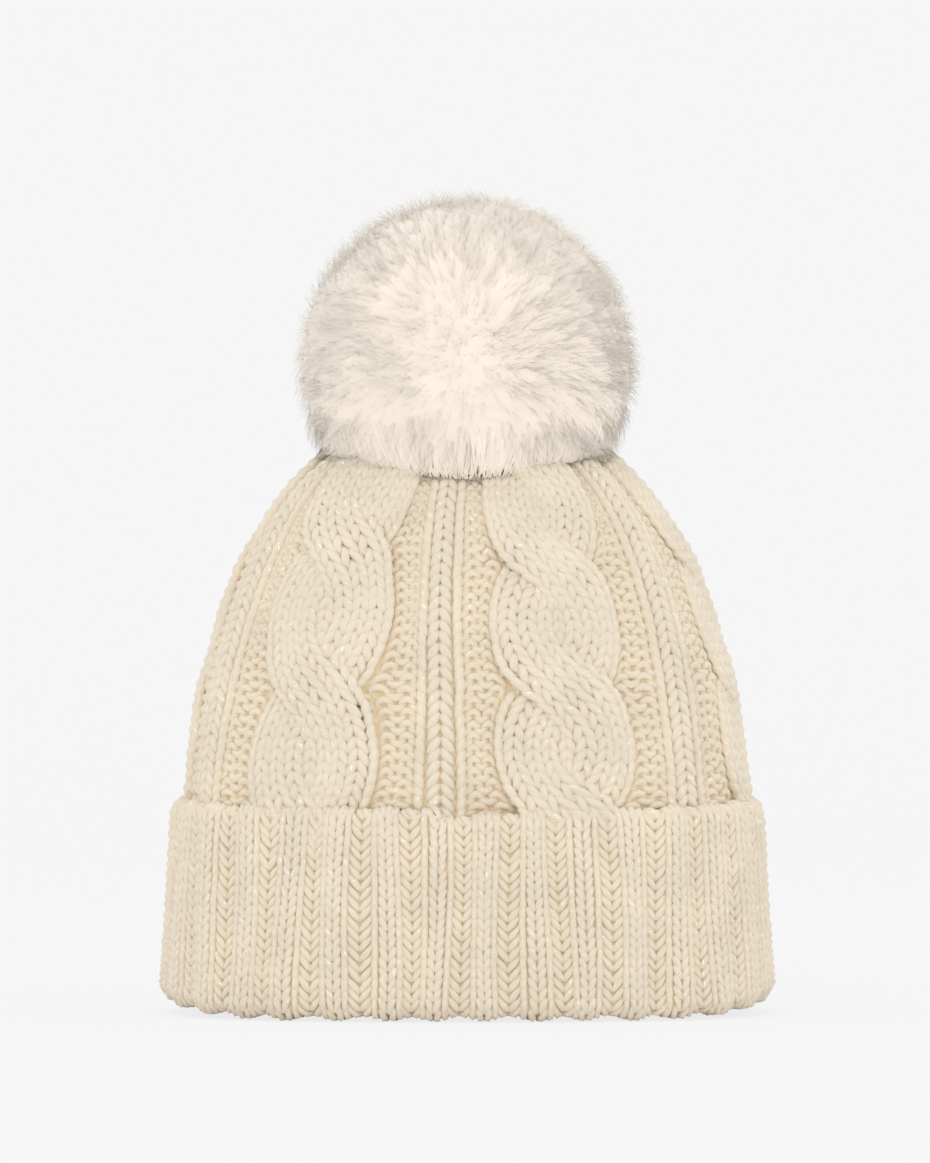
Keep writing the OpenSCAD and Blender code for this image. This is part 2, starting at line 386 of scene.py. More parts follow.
def tubes(name, paths, material, sides, courses=1.0):
    """Yarn or thread along each of the paths."""
    obj = paths_object(name, paths)
    group = bpy.data.node_groups.get("Tube Along Path") or tube_tree()
    return run_tree(obj, group, {"Sides": sides, "Courses": float(courses), "Material": material})


def finish_piece(obj, body, slot, *nodes):
    """Puts a finished piece on its body and hides the CAD nodes that it stands for. Its finish, slot, is not
    used.
    """
    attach(obj, body)
    if nodes:
        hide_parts(*nodes)
    return obj


OUTLINE_STEPS = 4000
outline_angles = np.linspace(-0.25 * TURN, 0.75 * TURN, OUTLINE_STEPS + 1)


def rounded_square(angle):
    """A point of the outline with half axes of 1, seen from above."""
    x, y = np.cos(angle), np.sin(angle)
    power = 2 / OUTLINE_POWER
    return np.sign(x) * np.abs(x) ** power, np.sign(y) * np.abs(y) ** power


def travelled(*axes):
    """How far along a path each of its points lies."""
    steps = 0
    for axis in axes:
        steps = np.hypot(steps, np.diff(axis))
    return np.concatenate([[0], np.cumsum(steps)])


def outline_shares():
    """Share of the way round, from the middle of the front, at each of the outline's angles."""
    x, y = rounded_square(outline_angles)
    shares = travelled(x, y * CUFF_HALF_D / CUFF_HALF_W)
    return shares / shares[-1], shares[-1] * CUFF_HALF_W


round_shares, cuff_round = outline_shares()
SEAM_SHARE = SEAM_X / cuff_round


def outline(share, half_w, half_d):
    """Points at a share of the way round an outline, starting at the middle of the front."""
    angle = np.interp(share % 1.0, round_shares, outline_angles)
    x, y = rounded_square(angle)
    return x * half_w, y * half_d


def lean(z):
    return CUFF_LEAN * np.clip(z, 0, CUFF_TOP) / CUFF_TOP


def body_meridian():
    """Length up the front of the body's mid-surface, with the height and the half axes there."""
    low = np.linspace(RIB_END - 10 * MM, CUFF_TOP, 40)[:-1]
    inset = LAYER_INSET + lean(low) + KNIT_WALL / 2
    t = np.linspace(0, TURN / 4, 600)
    rise = CROWN_TOP - KNIT_WALL / 2 - CUFF_TOP
    share = np.cos(t) ** (2 * CROWN_EXPONENT)
    high = CUFF_TOP + rise * np.sin(t) ** (2 / CROWN_POWER)
    top_w = CUFF_HALF_W - LAYER_INSET - CUFF_LEAN - KNIT_WALL / 2
    top_d = CUFF_HALF_D - LAYER_INSET - CUFF_LEAN - KNIT_WALL / 2
    z = np.concatenate([low, high])
    half_w = np.concatenate([CUFF_HALF_W - inset, top_w * share])
    half_d = np.concatenate([CUFF_HALF_D - inset, top_d * share])
    length = travelled(z, half_d)
    return length - np.interp(RIB_END, z, length), z, half_w, half_d


meridian = body_meridian()
body_widest = meridian[2].max()
body_spread = meridian[2] / body_widest


def body_surface(share, length):
    """Mid-surface of the body, at a share round it and a length up its front from the ribbing."""
    z = np.interp(length, meridian[0], meridian[1])
    half_w = np.interp(length, meridian[0], meridian[2])
    half_d = np.interp(length, meridian[0], meridian[3])
    x, y = outline(share, half_w, half_d)
    return np.stack([x, y, z], -1)


def length_at(spread):
    """Length up the body where it has drawn in to a share of its full width."""
    return np.interp(-spread, -body_spread, meridian[0])


def fold_path():
    """The ribbing's path from its cast-on edge, down the cuff, round the fold and up inside. Gives the length
    along it, with the inset from the cuff's outline and the height there."""
    outer = 2.9 * MM
    inner = LAYER_INSET + outer
    turn = (inner - outer) / 2
    roll = 1.9 * MM  # radius of the rounded cast-on edge
    foot = turn + 3.2 * MM
    top = CUFF_TOP - 1.0 * MM - roll
    angle = np.linspace(0, TURN / 2, 12)[:-1]
    inset = [outer + roll + roll * np.cos(angle)]
    z = [top + roll * np.sin(angle)]
    down = np.linspace(top, foot, 80)[:-1]
    inset.append(np.full(len(down), outer))
    z.append(down)
    inset.append((outer + inner) / 2 - turn * np.cos(angle))
    z.append(foot - turn * np.sin(angle))
    up = np.linspace(foot, RIB_END + 2 * MM, 60)
    inset.append(np.full(len(up), inner))
    z.append(up)
    inset, z = np.concatenate(inset), np.concatenate(z)
    inset = inset + lean(z)
    return travelled(inset, z), inset, z


fold = fold_path()


def rib_surface(share, length):
    """Mid-surface of the ribbing, at a share round it and a length from the cast-on edge."""
    inset = np.interp(length, fold[0], fold[1])
    z = np.interp(length, fold[0], fold[2])
    x, y = outline(share, CUFF_HALF_W - inset, CUFF_HALF_D - inset)
    fade = 45 * MM  # how far the unevenness of an edge reaches into the ribbing
    # The fold lifts at the two sides, where the ribbing turns the corner
    side = np.abs(x) / CUFF_HALF_W
    lift = 9.0 * MM * side ** 9 * np.clip(1 - z / fade, 0, 1) ** 2
    # The cast-on edge steps down at the seam and rises to the sides
    near_edge = np.clip(1 - length / fade, 0, 1)
    past_seam = (share - SEAM_SHARE) % 1.0 * cuff_round
    step = -3.6 * MM * np.exp(-past_seam / fade) + 2.5 * MM * side ** 4
    return np.stack([x, y, z + lift + step * near_edge], -1)


# ---------------------------------------------------------------- knitting

POINTS_A_STITCH = 12
LOOP_HEIGHT = 1.85  # of one loop, in rows, so that it overlaps the next
RIB_DEPTH = 1.1 * MM  # how far a loop's legs stand out from where it is held
BODY_DEPTH = 1.3 * MM
TUCK_LENGTH = 0.25  # of the end of a course that tucks in behind the fabric, in stitches


class Pattern:
    """A knitted pattern: where its stitches lie across the fabric, how far they stand out of it and how
    they lean. Its sections are first column, last column, 1 for a rib or -1 for a valley, and the relative
    width of a stitch."""

    def __init__(self, sections, period, relief, leans, valley_face=-1):
        self.sections, self.period, self.relief = sections, period, relief
        self.leans, self.valley_face = leans, valley_face
        self.table_columns = np.linspace(0, period, period * 40 + 1)
        self.distance = self.signed(self.table_columns)
        self.shares = np.ones(len(self.table_columns))
        for start, end, _, share in sections:
            self.shares[self.within(self.table_columns, start, end)] = share

    def within(self, columns, start, end):
        place = columns % self.period
        return np.any([(place >= start + shift) & (place < end + shift)
                       for shift in (-self.period, 0, self.period)], axis=0)

    def across(self, columns, purl_scale=1.0):
        """Place across the fabric, in stitches of the mean width."""
        width = np.where(self.distance >= 0, self.shares, self.shares * purl_scale)
        width = width * (1 - 0.2 * np.exp(-(self.distance / 0.35) ** 2))
        place = np.concatenate([[0], np.cumsum((width[1:] + width[:-1]) / 2)])
        place *= self.period / place[-1]
        turns = np.floor(columns / self.period)
        return turns * self.period + np.interp(columns - turns * self.period, self.table_columns, place)

    def signed(self, columns):
        """Distance in stitches to the nearest edge of a section: positive in a rib, negative in a valley."""
        place = columns % self.period
        nearest = np.full(np.shape(columns), np.inf)
        sign = np.zeros(np.shape(columns))
        for start, end, kind, _ in self.sections:
            sign = np.where(self.within(columns, start, end), kind, sign)
            for shift in (-self.period, 0, self.period):
                nearest = np.minimum(nearest, np.abs(place - start - shift))
                nearest = np.minimum(nearest, np.abs(place - end - shift))
        return nearest * sign

    def level(self, columns):
        """Height of the fabric's middle: up in the ribs and down in the valleys."""
        return self.relief * np.tanh(1.7 * np.clip(self.signed(columns), -1, 1)) / math.tanh(1.7)

    def facing(self, columns):
        """1 where the legs of the stitches lie in front, -1 where they lie behind."""
        signed = self.signed(columns)
        return np.tanh(5 * np.where(signed < 0, -self.valley_face * signed, signed))

    def lean(self, columns):
        """How far the legs of each stitch lean in, in stitches. A rib's middle, its edges and a valley have
        their own."""
        signed = self.signed(columns)
        middle, edge, valley = self.leans
        return np.where(signed < 0, valley, np.where(signed < 0.5, edge, middle))


def stitch_waves(first, last, depth, pattern):
    """The loops of one course, for each point: its place in columns, its rows up, its height out of the
    fabric and how full the yarn is there. The yarn is fullest in the legs and pinched where loops hold it."""
    t = np.arange((last - first) * POINTS_A_STITCH + 1) * TURN / POINTS_A_STITCH
    column = first + t / TURN
    place = column + pattern.lean(column) * np.sin(2 * t)
    rows = -LOOP_HEIGHT / 2 * np.cos(t)
    out = -depth * pattern.facing(place) * np.cos(2 * t)
    return place, rows, out, 1 - 0.13 * np.cos(2 * t)


def along_course(stray, column):
    """Each stray's value at places along a course, from one value a stitch."""
    return (np.interp(column, np.arange(len(values)), values) for values in stray)


def tucked(column, first, last):
    """1 at the ends of a course, where its yarn tucks in behind the fabric, and 0 along it."""
    return 1 - np.clip(np.minimum(column - first, last - column) / TUCK_LENGTH, 0, 1)


def unit(vectors):
    return vectors / np.maximum(np.linalg.norm(vectors, axis=-1, keepdims=True), 1e-12)


def lay_on(surface, face, pattern, share, length, place, out, stitch_width):
    """Puts points on a fabric, at a share round it and a length up it, where they stand out from its
    middle."""
    nudge_round, nudge_up = 0.0006, 0.3 * MM
    base = surface(share, length)
    along = unit(surface(share + nudge_round, length) - surface(share - nudge_round, length))
    up = surface(share, length + nudge_up) - surface(share, length - nudge_up)
    normal = unit(np.cross(along, up)) * face
    if pattern is None:
        return base + normal * out[..., None]
    level = pattern.level(place)
    nudge = 0.05
    rise = pattern.level(place + nudge) - pattern.level(place - nudge)
    run = (pattern.across(place + nudge) - pattern.across(place - nudge)) * stitch_width
    tilt = -np.arctan2(rise, run)
    direction = normal * np.cos(tilt)[..., None] + along * np.sin(tilt)[..., None]
    return base + normal * level[..., None] + direction * out[..., None]


def depth_shade(height, reach):
    """Painted shade by how far the yarn lies in the fabric: 0 for yarn low in the fabric, which takes the
    shade colour, and 1 for yarn on its face.
    """
    return np.clip(0.5 + height / (2 * reach), 0, 1)


CABLE_HALF = 4  # stitches on each side of a cable's middle
SPREAD = 0.4  # how much wider a strand gets as it slants over or under the other
DECREASES_START = 0.46  # share of the body's full width at which two stitches become one
LAST_DECREASES = 0.27  # and at which four do
GATHERED_HOLE = 8.5 * MM  # radius of the hole in the crown that the yarn is drawn through

rib_pattern = Pattern([(-1, 1, 1, 0.80), (1, 2, -1, 1.40)], 3, 1.0 * MM, (0.24, 0.10, -0.09), 1)
body_pattern = Pattern([(-1, 1, 1, 1.10), (1, 3, -1, 0.88), (3, 11, 1, 0.75), (11, 13, -1, 0.88)],
                       14, 0.8 * MM, (0.27, 0.15, 0.17))


def body_stitches(yarn):
    return yarn.body_repeats * body_pattern.period


def rib_stitches(yarn):
    return yarn.rib_repeats * rib_pattern.period


def wander(place, rows, count):
    """How far the columns drift to one side, in stitches. It is the same at both ends of a round."""
    turn = place * TURN / count
    return 0.13 * np.sin(9 * turn + 0.17 * rows) + 0.09 * np.sin(22 * turn - 0.12 * rows + 1)


def rib_courses(yarn, rows, first_row, rng):
    """Courses of the ribbing, numbered from the cast-on edge."""
    count = rib_stitches(yarn)
    stitch_width = cuff_round / count
    paths = []
    for number, row in enumerate(rows):
        place, up, out, full = stitch_waves(0, count, RIB_DEPTH, rib_pattern)
        column = np.linspace(0, count, len(place))
        stray = rng.normal(0, 1, (3, count + 1)) * yarn.unevenness
        sway, lift, proud = along_course(stray, column)
        place = place + 0.02 * sway
        length = first_row + (row + up + 0.05 * lift) * yarn.rib_row
        out = out + 0.10 * MM * proud
        out = out - 1.2 * MM * tucked(column, 0, count)
        drift = wander(place, length / yarn.rib_row, count)
        share = SEAM_SHARE + (rib_pattern.across(place) + drift) / count
        points = lay_on(rib_surface, -1, rib_pattern, share, length, place, out, stitch_width)
        width = yarn.rib_yarn * (1 + 0.04 * proud) * full
        # Painted shade: yarn lower in the fabric takes the darker, warmer shade colour
        tone_and_shade = depth_shade(0.6 * MM + 0.5 * rib_pattern.level(place) + 0.9 * out, 1.6 * MM)
        paths.append((points, width, tone_and_shade, float(number), column / count))
    return paths


class Cable:
    """A rope of two strands of four stitches that cross at steady intervals."""

    def __init__(self, centre, first_crossing, interval, proud):
        self.centre, self.first, self.interval, self.proud = centre, first_crossing, interval, proud

    def span(self, row):
        """The crossings below and above a row."""
        turn = math.floor((row - self.first) / self.interval)
        below = self.first + turn * self.interval
        return below, below + self.interval

    def swing(self, distance):
        """How far a strand has got to its own side, at a distance in rows from a crossing."""
        near = np.clip(distance, -self.interval / 2, self.interval / 2)
        return 0.2 * np.tanh(near / 2.0) + 0.8 * np.sin(near * TURN / 2 / self.interval)

    def strand(self, row, rows_up, side):
        """How far across the cable a strand is, in stitches, and how near it is to crossing in front and
        behind, at rows_up from its row. side is -1 or 1."""
        below, above = self.span(row)
        at = row + rows_up
        gone, to_go = at - below, above - at
        away = side * CABLE_HALF / 2 * self.swing(gone) * self.swing(to_go)
        near_below, near_above = self.nearness(gone), self.nearness(to_go)
        front, behind = (near_below, near_above) if side < 0 else (near_above, near_below)
        return away, front, behind

    def nearness(self, distance):
        """1 at a crossing, and 0 well away from it."""
        return np.exp(-(distance / 2.7) ** 2)

    def neck(self, rows):
        """How many stitches narrower than its full width the rope is on each side, at some rows."""
        gone = (rows - self.first) % self.interval
        to_go = self.interval - gone
        crossing = np.maximum(self.nearness(gone), self.nearness(to_go))
        narrower = 1 - self.swing(gone) * self.swing(to_go) - SPREAD * crossing
        return CABLE_HALF / 2 * np.maximum(narrower, 0)


def body_cables(yarn):
    """The cables round the hat, from the seam. Those left and right of the front's middle cross at their
    own heights."""
    cables = []
    for number in range(yarn.body_repeats):
        left_front = number == yarn.body_repeats - 1
        first = 14.9 if left_front else 4.4 + 0.6 * (number % 2)
        interval = 12.6 if left_front else 10.6
        at_side = number % (yarn.body_repeats // 2) == 1  # pressed flatter where the hat folds
        centre = body_pattern.period * number + body_pattern.period // 2
        cables.append(Cable(centre, first, interval, 0.35 if at_side else 1.0))
    return cables


def drawn_in(cables, place, rows):
    """Where places beside and under the cables get to, as each rope draws the fabric in at its
    crossings."""
    result = place
    for cable in cables:
        away = place - cable.centre
        beyond = np.abs(away) - CABLE_HALF
        neck = cable.neck(rows)
        under = away * (1 - neck / CABLE_HALF)
        beside = away - np.sign(away) * neck * np.clip(1 - beyond / 2, 0, 1)
        moved = cable.centre + np.where(beyond < 0, under, beside)
        result = np.where(beyond < 2, moved, result)
    return result


def body_courses(yarn, rng):
    """Courses of the body from the ribbing to where the crown's decreases start."""
    count = body_stitches(yarn)
    stitch_width = cuff_round * 0.9 / count
    cables = body_cables(yarn)
    rows = int(length_at(DECREASES_START) / yarn.body_row)
    paths = []
    for row in range(rows + 1):
        gathered = np.interp(row * yarn.body_row, meridian[0], body_spread)
        plumpness = np.clip(0.55 + 0.45 * gathered / 0.8, 0.8, 1)
        purl_scale = np.clip(1.35 * gathered - 0.35, 0.25, 1)
        stray = rng.normal(0, 1, (4, count + 1)) * yarn.unevenness

        def knit(first, last, cable=None, side=0):
            place, up, out, full = stitch_waves(first, last, BODY_DEPTH, body_pattern)
            column = np.linspace(first, last, len(place))
            sway, lift, proud, plump = along_course(stray, column)
            up = up + 0.05 * lift
            own = place
            height = 0.12 * MM * proud
            width = yarn.body_yarn * full * (1 + 0.035 * plump) * plumpness
            if cable:
                middle = (first + last) / 2
                away, front, behind = cable.strand(row, up, side)
                across = place - middle
                crossing = np.maximum(front, behind)
                place = cable.centre + away + across * (1 + SPREAD * crossing)
                rounded = 1 - (across / 2.1) ** 2
                lifted = (0.5 + 0.9 * rounded) * MM + yarn.cable_rise * front * (0.7 + 0.3 * rounded)
                height = height + cable.proud * lifted - 1.4 * MM * behind
                width = width * (1 - 0.06 * crossing)
            else:
                place = drawn_in(cables, place, row + up)
            place = place + 0.02 * sway
            length = (row + up) * yarn.body_row
            tuck = 2.2 * MM if cable or (first == 0 or last == count) else 1.2 * MM
            height = height + out - tuck * tucked(column, first, last)
            drift = wander(place, row + up, count)
            share = SEAM_SHARE + (body_pattern.across(place, purl_scale) + drift) / count
            # Both kinds of stitch get painted shade where their yarn lies low in the fabric
            if cable:
                points = lay_on(body_surface, 1, None, share, length, place,
                                height + body_pattern.relief, stitch_width)
                tone_and_shade = depth_shade(1.0 * MM + 0.9 * out + 0.3 * (height - out), 2.0 * MM)
            else:
                points = lay_on(body_surface, 1, body_pattern, share, length, own, height, stitch_width)
                tone_and_shade = depth_shade(0.6 * MM + 0.5 * body_pattern.level(own) + 0.9 * out, 2.0 * MM)
            paths.append((points, width, tone_and_shade, float(row), column / count))

        starts = [0] + [c.centre + CABLE_HALF for c in cables]
        stops = [c.centre - CABLE_HALF for c in cables] + [count]
        for first, last in zip(starts, stops):
            knit(first, last)
        for cable in cables:
            knit(cable.centre - CABLE_HALF, cable.centre, cable, -1)
            knit(cable.centre, cable.centre + CABLE_HALF, cable, 1)
    return paths, rows


class Plain:
    """Plain knit stitches with no ribs."""

    def facing(self, columns):
        return np.ones(np.shape(columns))

    def lean(self, columns):
        return 0.22


def crown_courses(yarn, rng, first_row):
    """The last courses, where two stitches and then four become one, up to the gathered hole."""
    paths = []
    rows = int(length_at(GATHERED_HOLE / body_widest) / yarn.body_row)
    for number, row in enumerate(range(first_row, rows + 1)):
        gathered = np.interp(row * yarn.body_row, meridian[0], body_spread)
        count = body_stitches(yarn) // (2 if gathered > LAST_DECREASES else 4)
        place, up, out, full = stitch_waves(0, count, RIB_DEPTH, Plain())
        column = np.linspace(0, count, len(place))
        stray = rng.normal(0, 1, (2, count + 1)) * yarn.unevenness
        sway, proud = along_course(stray, column)
        length = np.minimum((row + up) * yarn.body_row, meridian[0][-1] - 5 * MM)
        share = SEAM_SHARE + (place + 0.02 * sway) / count
        points = lay_on(body_surface, 1, None, share, length, place, out + 0.12 * MM * proud, 0)
        # The loops get painted shade where they dip into the fabric
        paths.append((points, yarn.body_yarn * full, depth_shade(out, 2 * MM), float(number), column / count))
    return paths


def fabric_web(name, surface, face, pattern, columns, lengths, rise, material, row, cables=(), swell=0.0):
    """A thin closed sheet in the middle of the fabric, which shuts the gaps between the loops. It lies as far
    up the stitches as rise says, is drawn in with the cables and swells by that much under each of them."""
    around = columns * 2
    place = np.arange(around) / 2
    across, up = np.meshgrid(place, lengths, indexing="ij")
    drawn = drawn_in(cables, across, up / row)
    share = SEAM_SHARE + (pattern.across(drawn) + wander(drawn, up / row, columns)) / columns
    under = np.zeros(across.shape)
    for cable in cables:
        out = 1 - ((across - cable.centre) / (CABLE_HALF + 0.2)) ** 2
        gone = (up / row - cable.first) % cable.interval
        crossing = np.maximum(cable.nearness(gone), cable.nearness(cable.interval - gone))
        under += swell * (0.3 + 0.7 * cable.proud) * (1 - crossing) * np.sqrt(np.clip(out, 0, 1))
    layers = [lay_on(surface, face, pattern, share, up, across, under + depth, cuff_round / columns)
              for depth in (rise + 0.25 * MM, rise - 0.25 * MM)]
    rows = len(lengths)
    points = np.concatenate([layers[0], layers[1][:, ::-1]], axis=1).reshape(-1, 3)
    rings = 2 * rows
    faces = []
    for i in range(around):
        j = (i + 1) % around
        for k in range(rings):
            n = (k + 1) % rings
            quad = (i * rings + k, j * rings + k, j * rings + n, i * rings + n)
            faces.append(quad if face > 0 else quad[::-1])
    mesh = bpy.data.meshes.new(name)
    mesh.from_pydata(points.tolist(), [], faces)
    mesh.shade_smooth()
    mesh.materials.append(material)
    plan = np.stack(np.meshgrid(np.arange(around) / around, np.arange(rings) / rings, indexing="ij"), -1)
    flatten_out(mesh, plan.reshape(-1, 2))
    return link(bpy.data.objects.new(name, mesh))


# ---------------------------------------------------------------- materials


def new_material(name):
    material = bpy.data.materials.new(name)
    material.use_nodes = True
    material.node_tree.nodes.clear()
    return material, Tree(material.node_tree)


def yarn_material(name, face, deep_shade, yarn_radius):
    """Soft brushed yarn: painted shade by depth, which gives yarn low in the fabric a darker, warmer colour,
    fibre along the strand and a fine metallic thread spun in.
    """
    material, tree = new_material(name)
    around, length = tree.flat_place("Yarn")
    tone_and_shade = tree.add("ShaderNodeAttribute", {"attribute_name": "tone_and_shade"}).outputs["Fac"]
    place = tree.place()
    # Painted shade: the yarn goes from the face colour to the shade colour as it lies lower in the fabric
    colour = tree.mix(tree.math("POWER", tone_and_shade, 0.8), rgba(deep_shade), rgba(face))
    patchy = tree.spread(tree.noise(place, 55.0, 3.0), 0.3, 0.7, 0.94, 1.04)
    colour = tree.mix(1.0, colour, patchy, "MULTIPLY")
    # Fibres run along the strand
    turned = tree.math("MULTIPLY", around, TURN * yarn_radius)
    fibre_place = tree.add("ShaderNodeCombineXYZ", X=turned, Y=tree.math("MULTIPLY", length, 0.16))
    fibre = tree.noise(fibre_place, 2600.0, 2.0)
    # Plies wind round the strand
    wound = tree.math("MULTIPLY_ADD", around, 2.0, tree.math("MULTIPLY", length, 1 / (9 * MM)))
    ply = tree.math("SINE", tree.math("MULTIPLY", wound, TURN))
    relief = tree.math("MULTIPLY_ADD", ply, 0.25, fibre)
    # A metallic thread comes to the surface here and there
    thread = tree.math("MULTIPLY_ADD", length, 1 / (11 * MM), around)
    thread = tree.math("ABSOLUTE", tree.math("SUBTRACT", tree.math("FRACT", thread), 0.5))
    thread = tree.math("LESS_THAN", thread, 0.024)
    shows = tree.math("GREATER_THAN", tree.noise(place, 330.0, 1.0), 0.585)
    glint = tree.math("MULTIPLY", thread, shows)
    colour = tree.mix(glint, colour, rgba((0.95, 0.88, 0.70)))
    tree.surface(colour, tree.math("MULTIPLY_ADD", glint, -0.55, 0.88), Sheen_Weight=0.25,
                 Sheen_Roughness=0.6, Metallic=tree.math("MULTIPLY", glint, 0.85),
                 Normal=tree.bump(relief, 0.35, 0.25 * MM))
    return material


def web_material(name, colour):
    """The yarn that shows between the loops, in the painted shade colour of the recesses."""
    material, tree = new_material(name)
    noise = tree.noise(tree.place(), 900.0, 2.0)
    tree.surface(tree.two_tones(noise, colour, 0.85), 0.95, Normal=tree.bump(noise, 0.5, 0.4 * MM))
    return material


def felt_material(name, colour):
    """Matted felt: mottled, with a fuzzy surface."""
    material, tree = new_material(name)
    place = tree.place()
    tint = tree.two_tones(tree.noise(place, 350.0, 4.0), colour, 0.86)
    fuzz = tree.noise(place, 2200.0, 3.0, Distortion=1.5)
    tree.surface(tint, 0.95, Sheen_Weight=0.3, Normal=tree.bump(fuzz, 0.5, 0.3 * MM))
    return material


def weave_material(name, colour):
    """Plain woven cloth, with threads crossing over and under."""
    material, tree = new_material(name)
    warp, weft = (tree.math("SINE", tree.math("MULTIPLY", way, TURN * threads))
                  for way, threads in zip(tree.flat_place("OFBake"), (150, 90)))
    weave = tree.math("MULTIPLY_ADD", tree.math("MULTIPLY", warp, weft), 0.5, 0.5)
    tree.surface(tree.two_tones(weave, colour, 0.84), 0.9, Normal=tree.bump(weave, 0.5, 0.25 * MM))
    return material


def metal_material(name, colour, roughness):
    """Plated steel, turned in a lathe: fine rings and faint wear."""
    material, tree = new_material(name)
    place = tree.place()
    split = tree.add("ShaderNodeSeparateXYZ", Vector=place)
    flat = tree.add("ShaderNodeCombineXYZ", X=split.outputs[0], Y=split.outputs[1])
    rings = tree.add("ShaderNodeCombineXYZ", X=tree.vector("LENGTH", flat),
                     Z=tree.math("MULTIPLY", split.outputs[2], 0.5))
    wear = tree.noise(place, 500.0, 3.0)
    rough = tree.math("MULTIPLY_ADD", wear, 0.2, roughness)
    turning = tree.bump(tree.noise(rings, 9000.0, 2.0), 0.15, 0.05 * MM)
    tree.surface(tree.two_tones(wear, colour, 0.8), rough, Metallic=1.0, Normal=turning)
    return material


def painted(make, name, *facts):
    """A material by name, made when it is first asked for."""
    return bpy.data.materials.get(name) or make(name, *facts)


# ---------------------------------------------------------------- fur


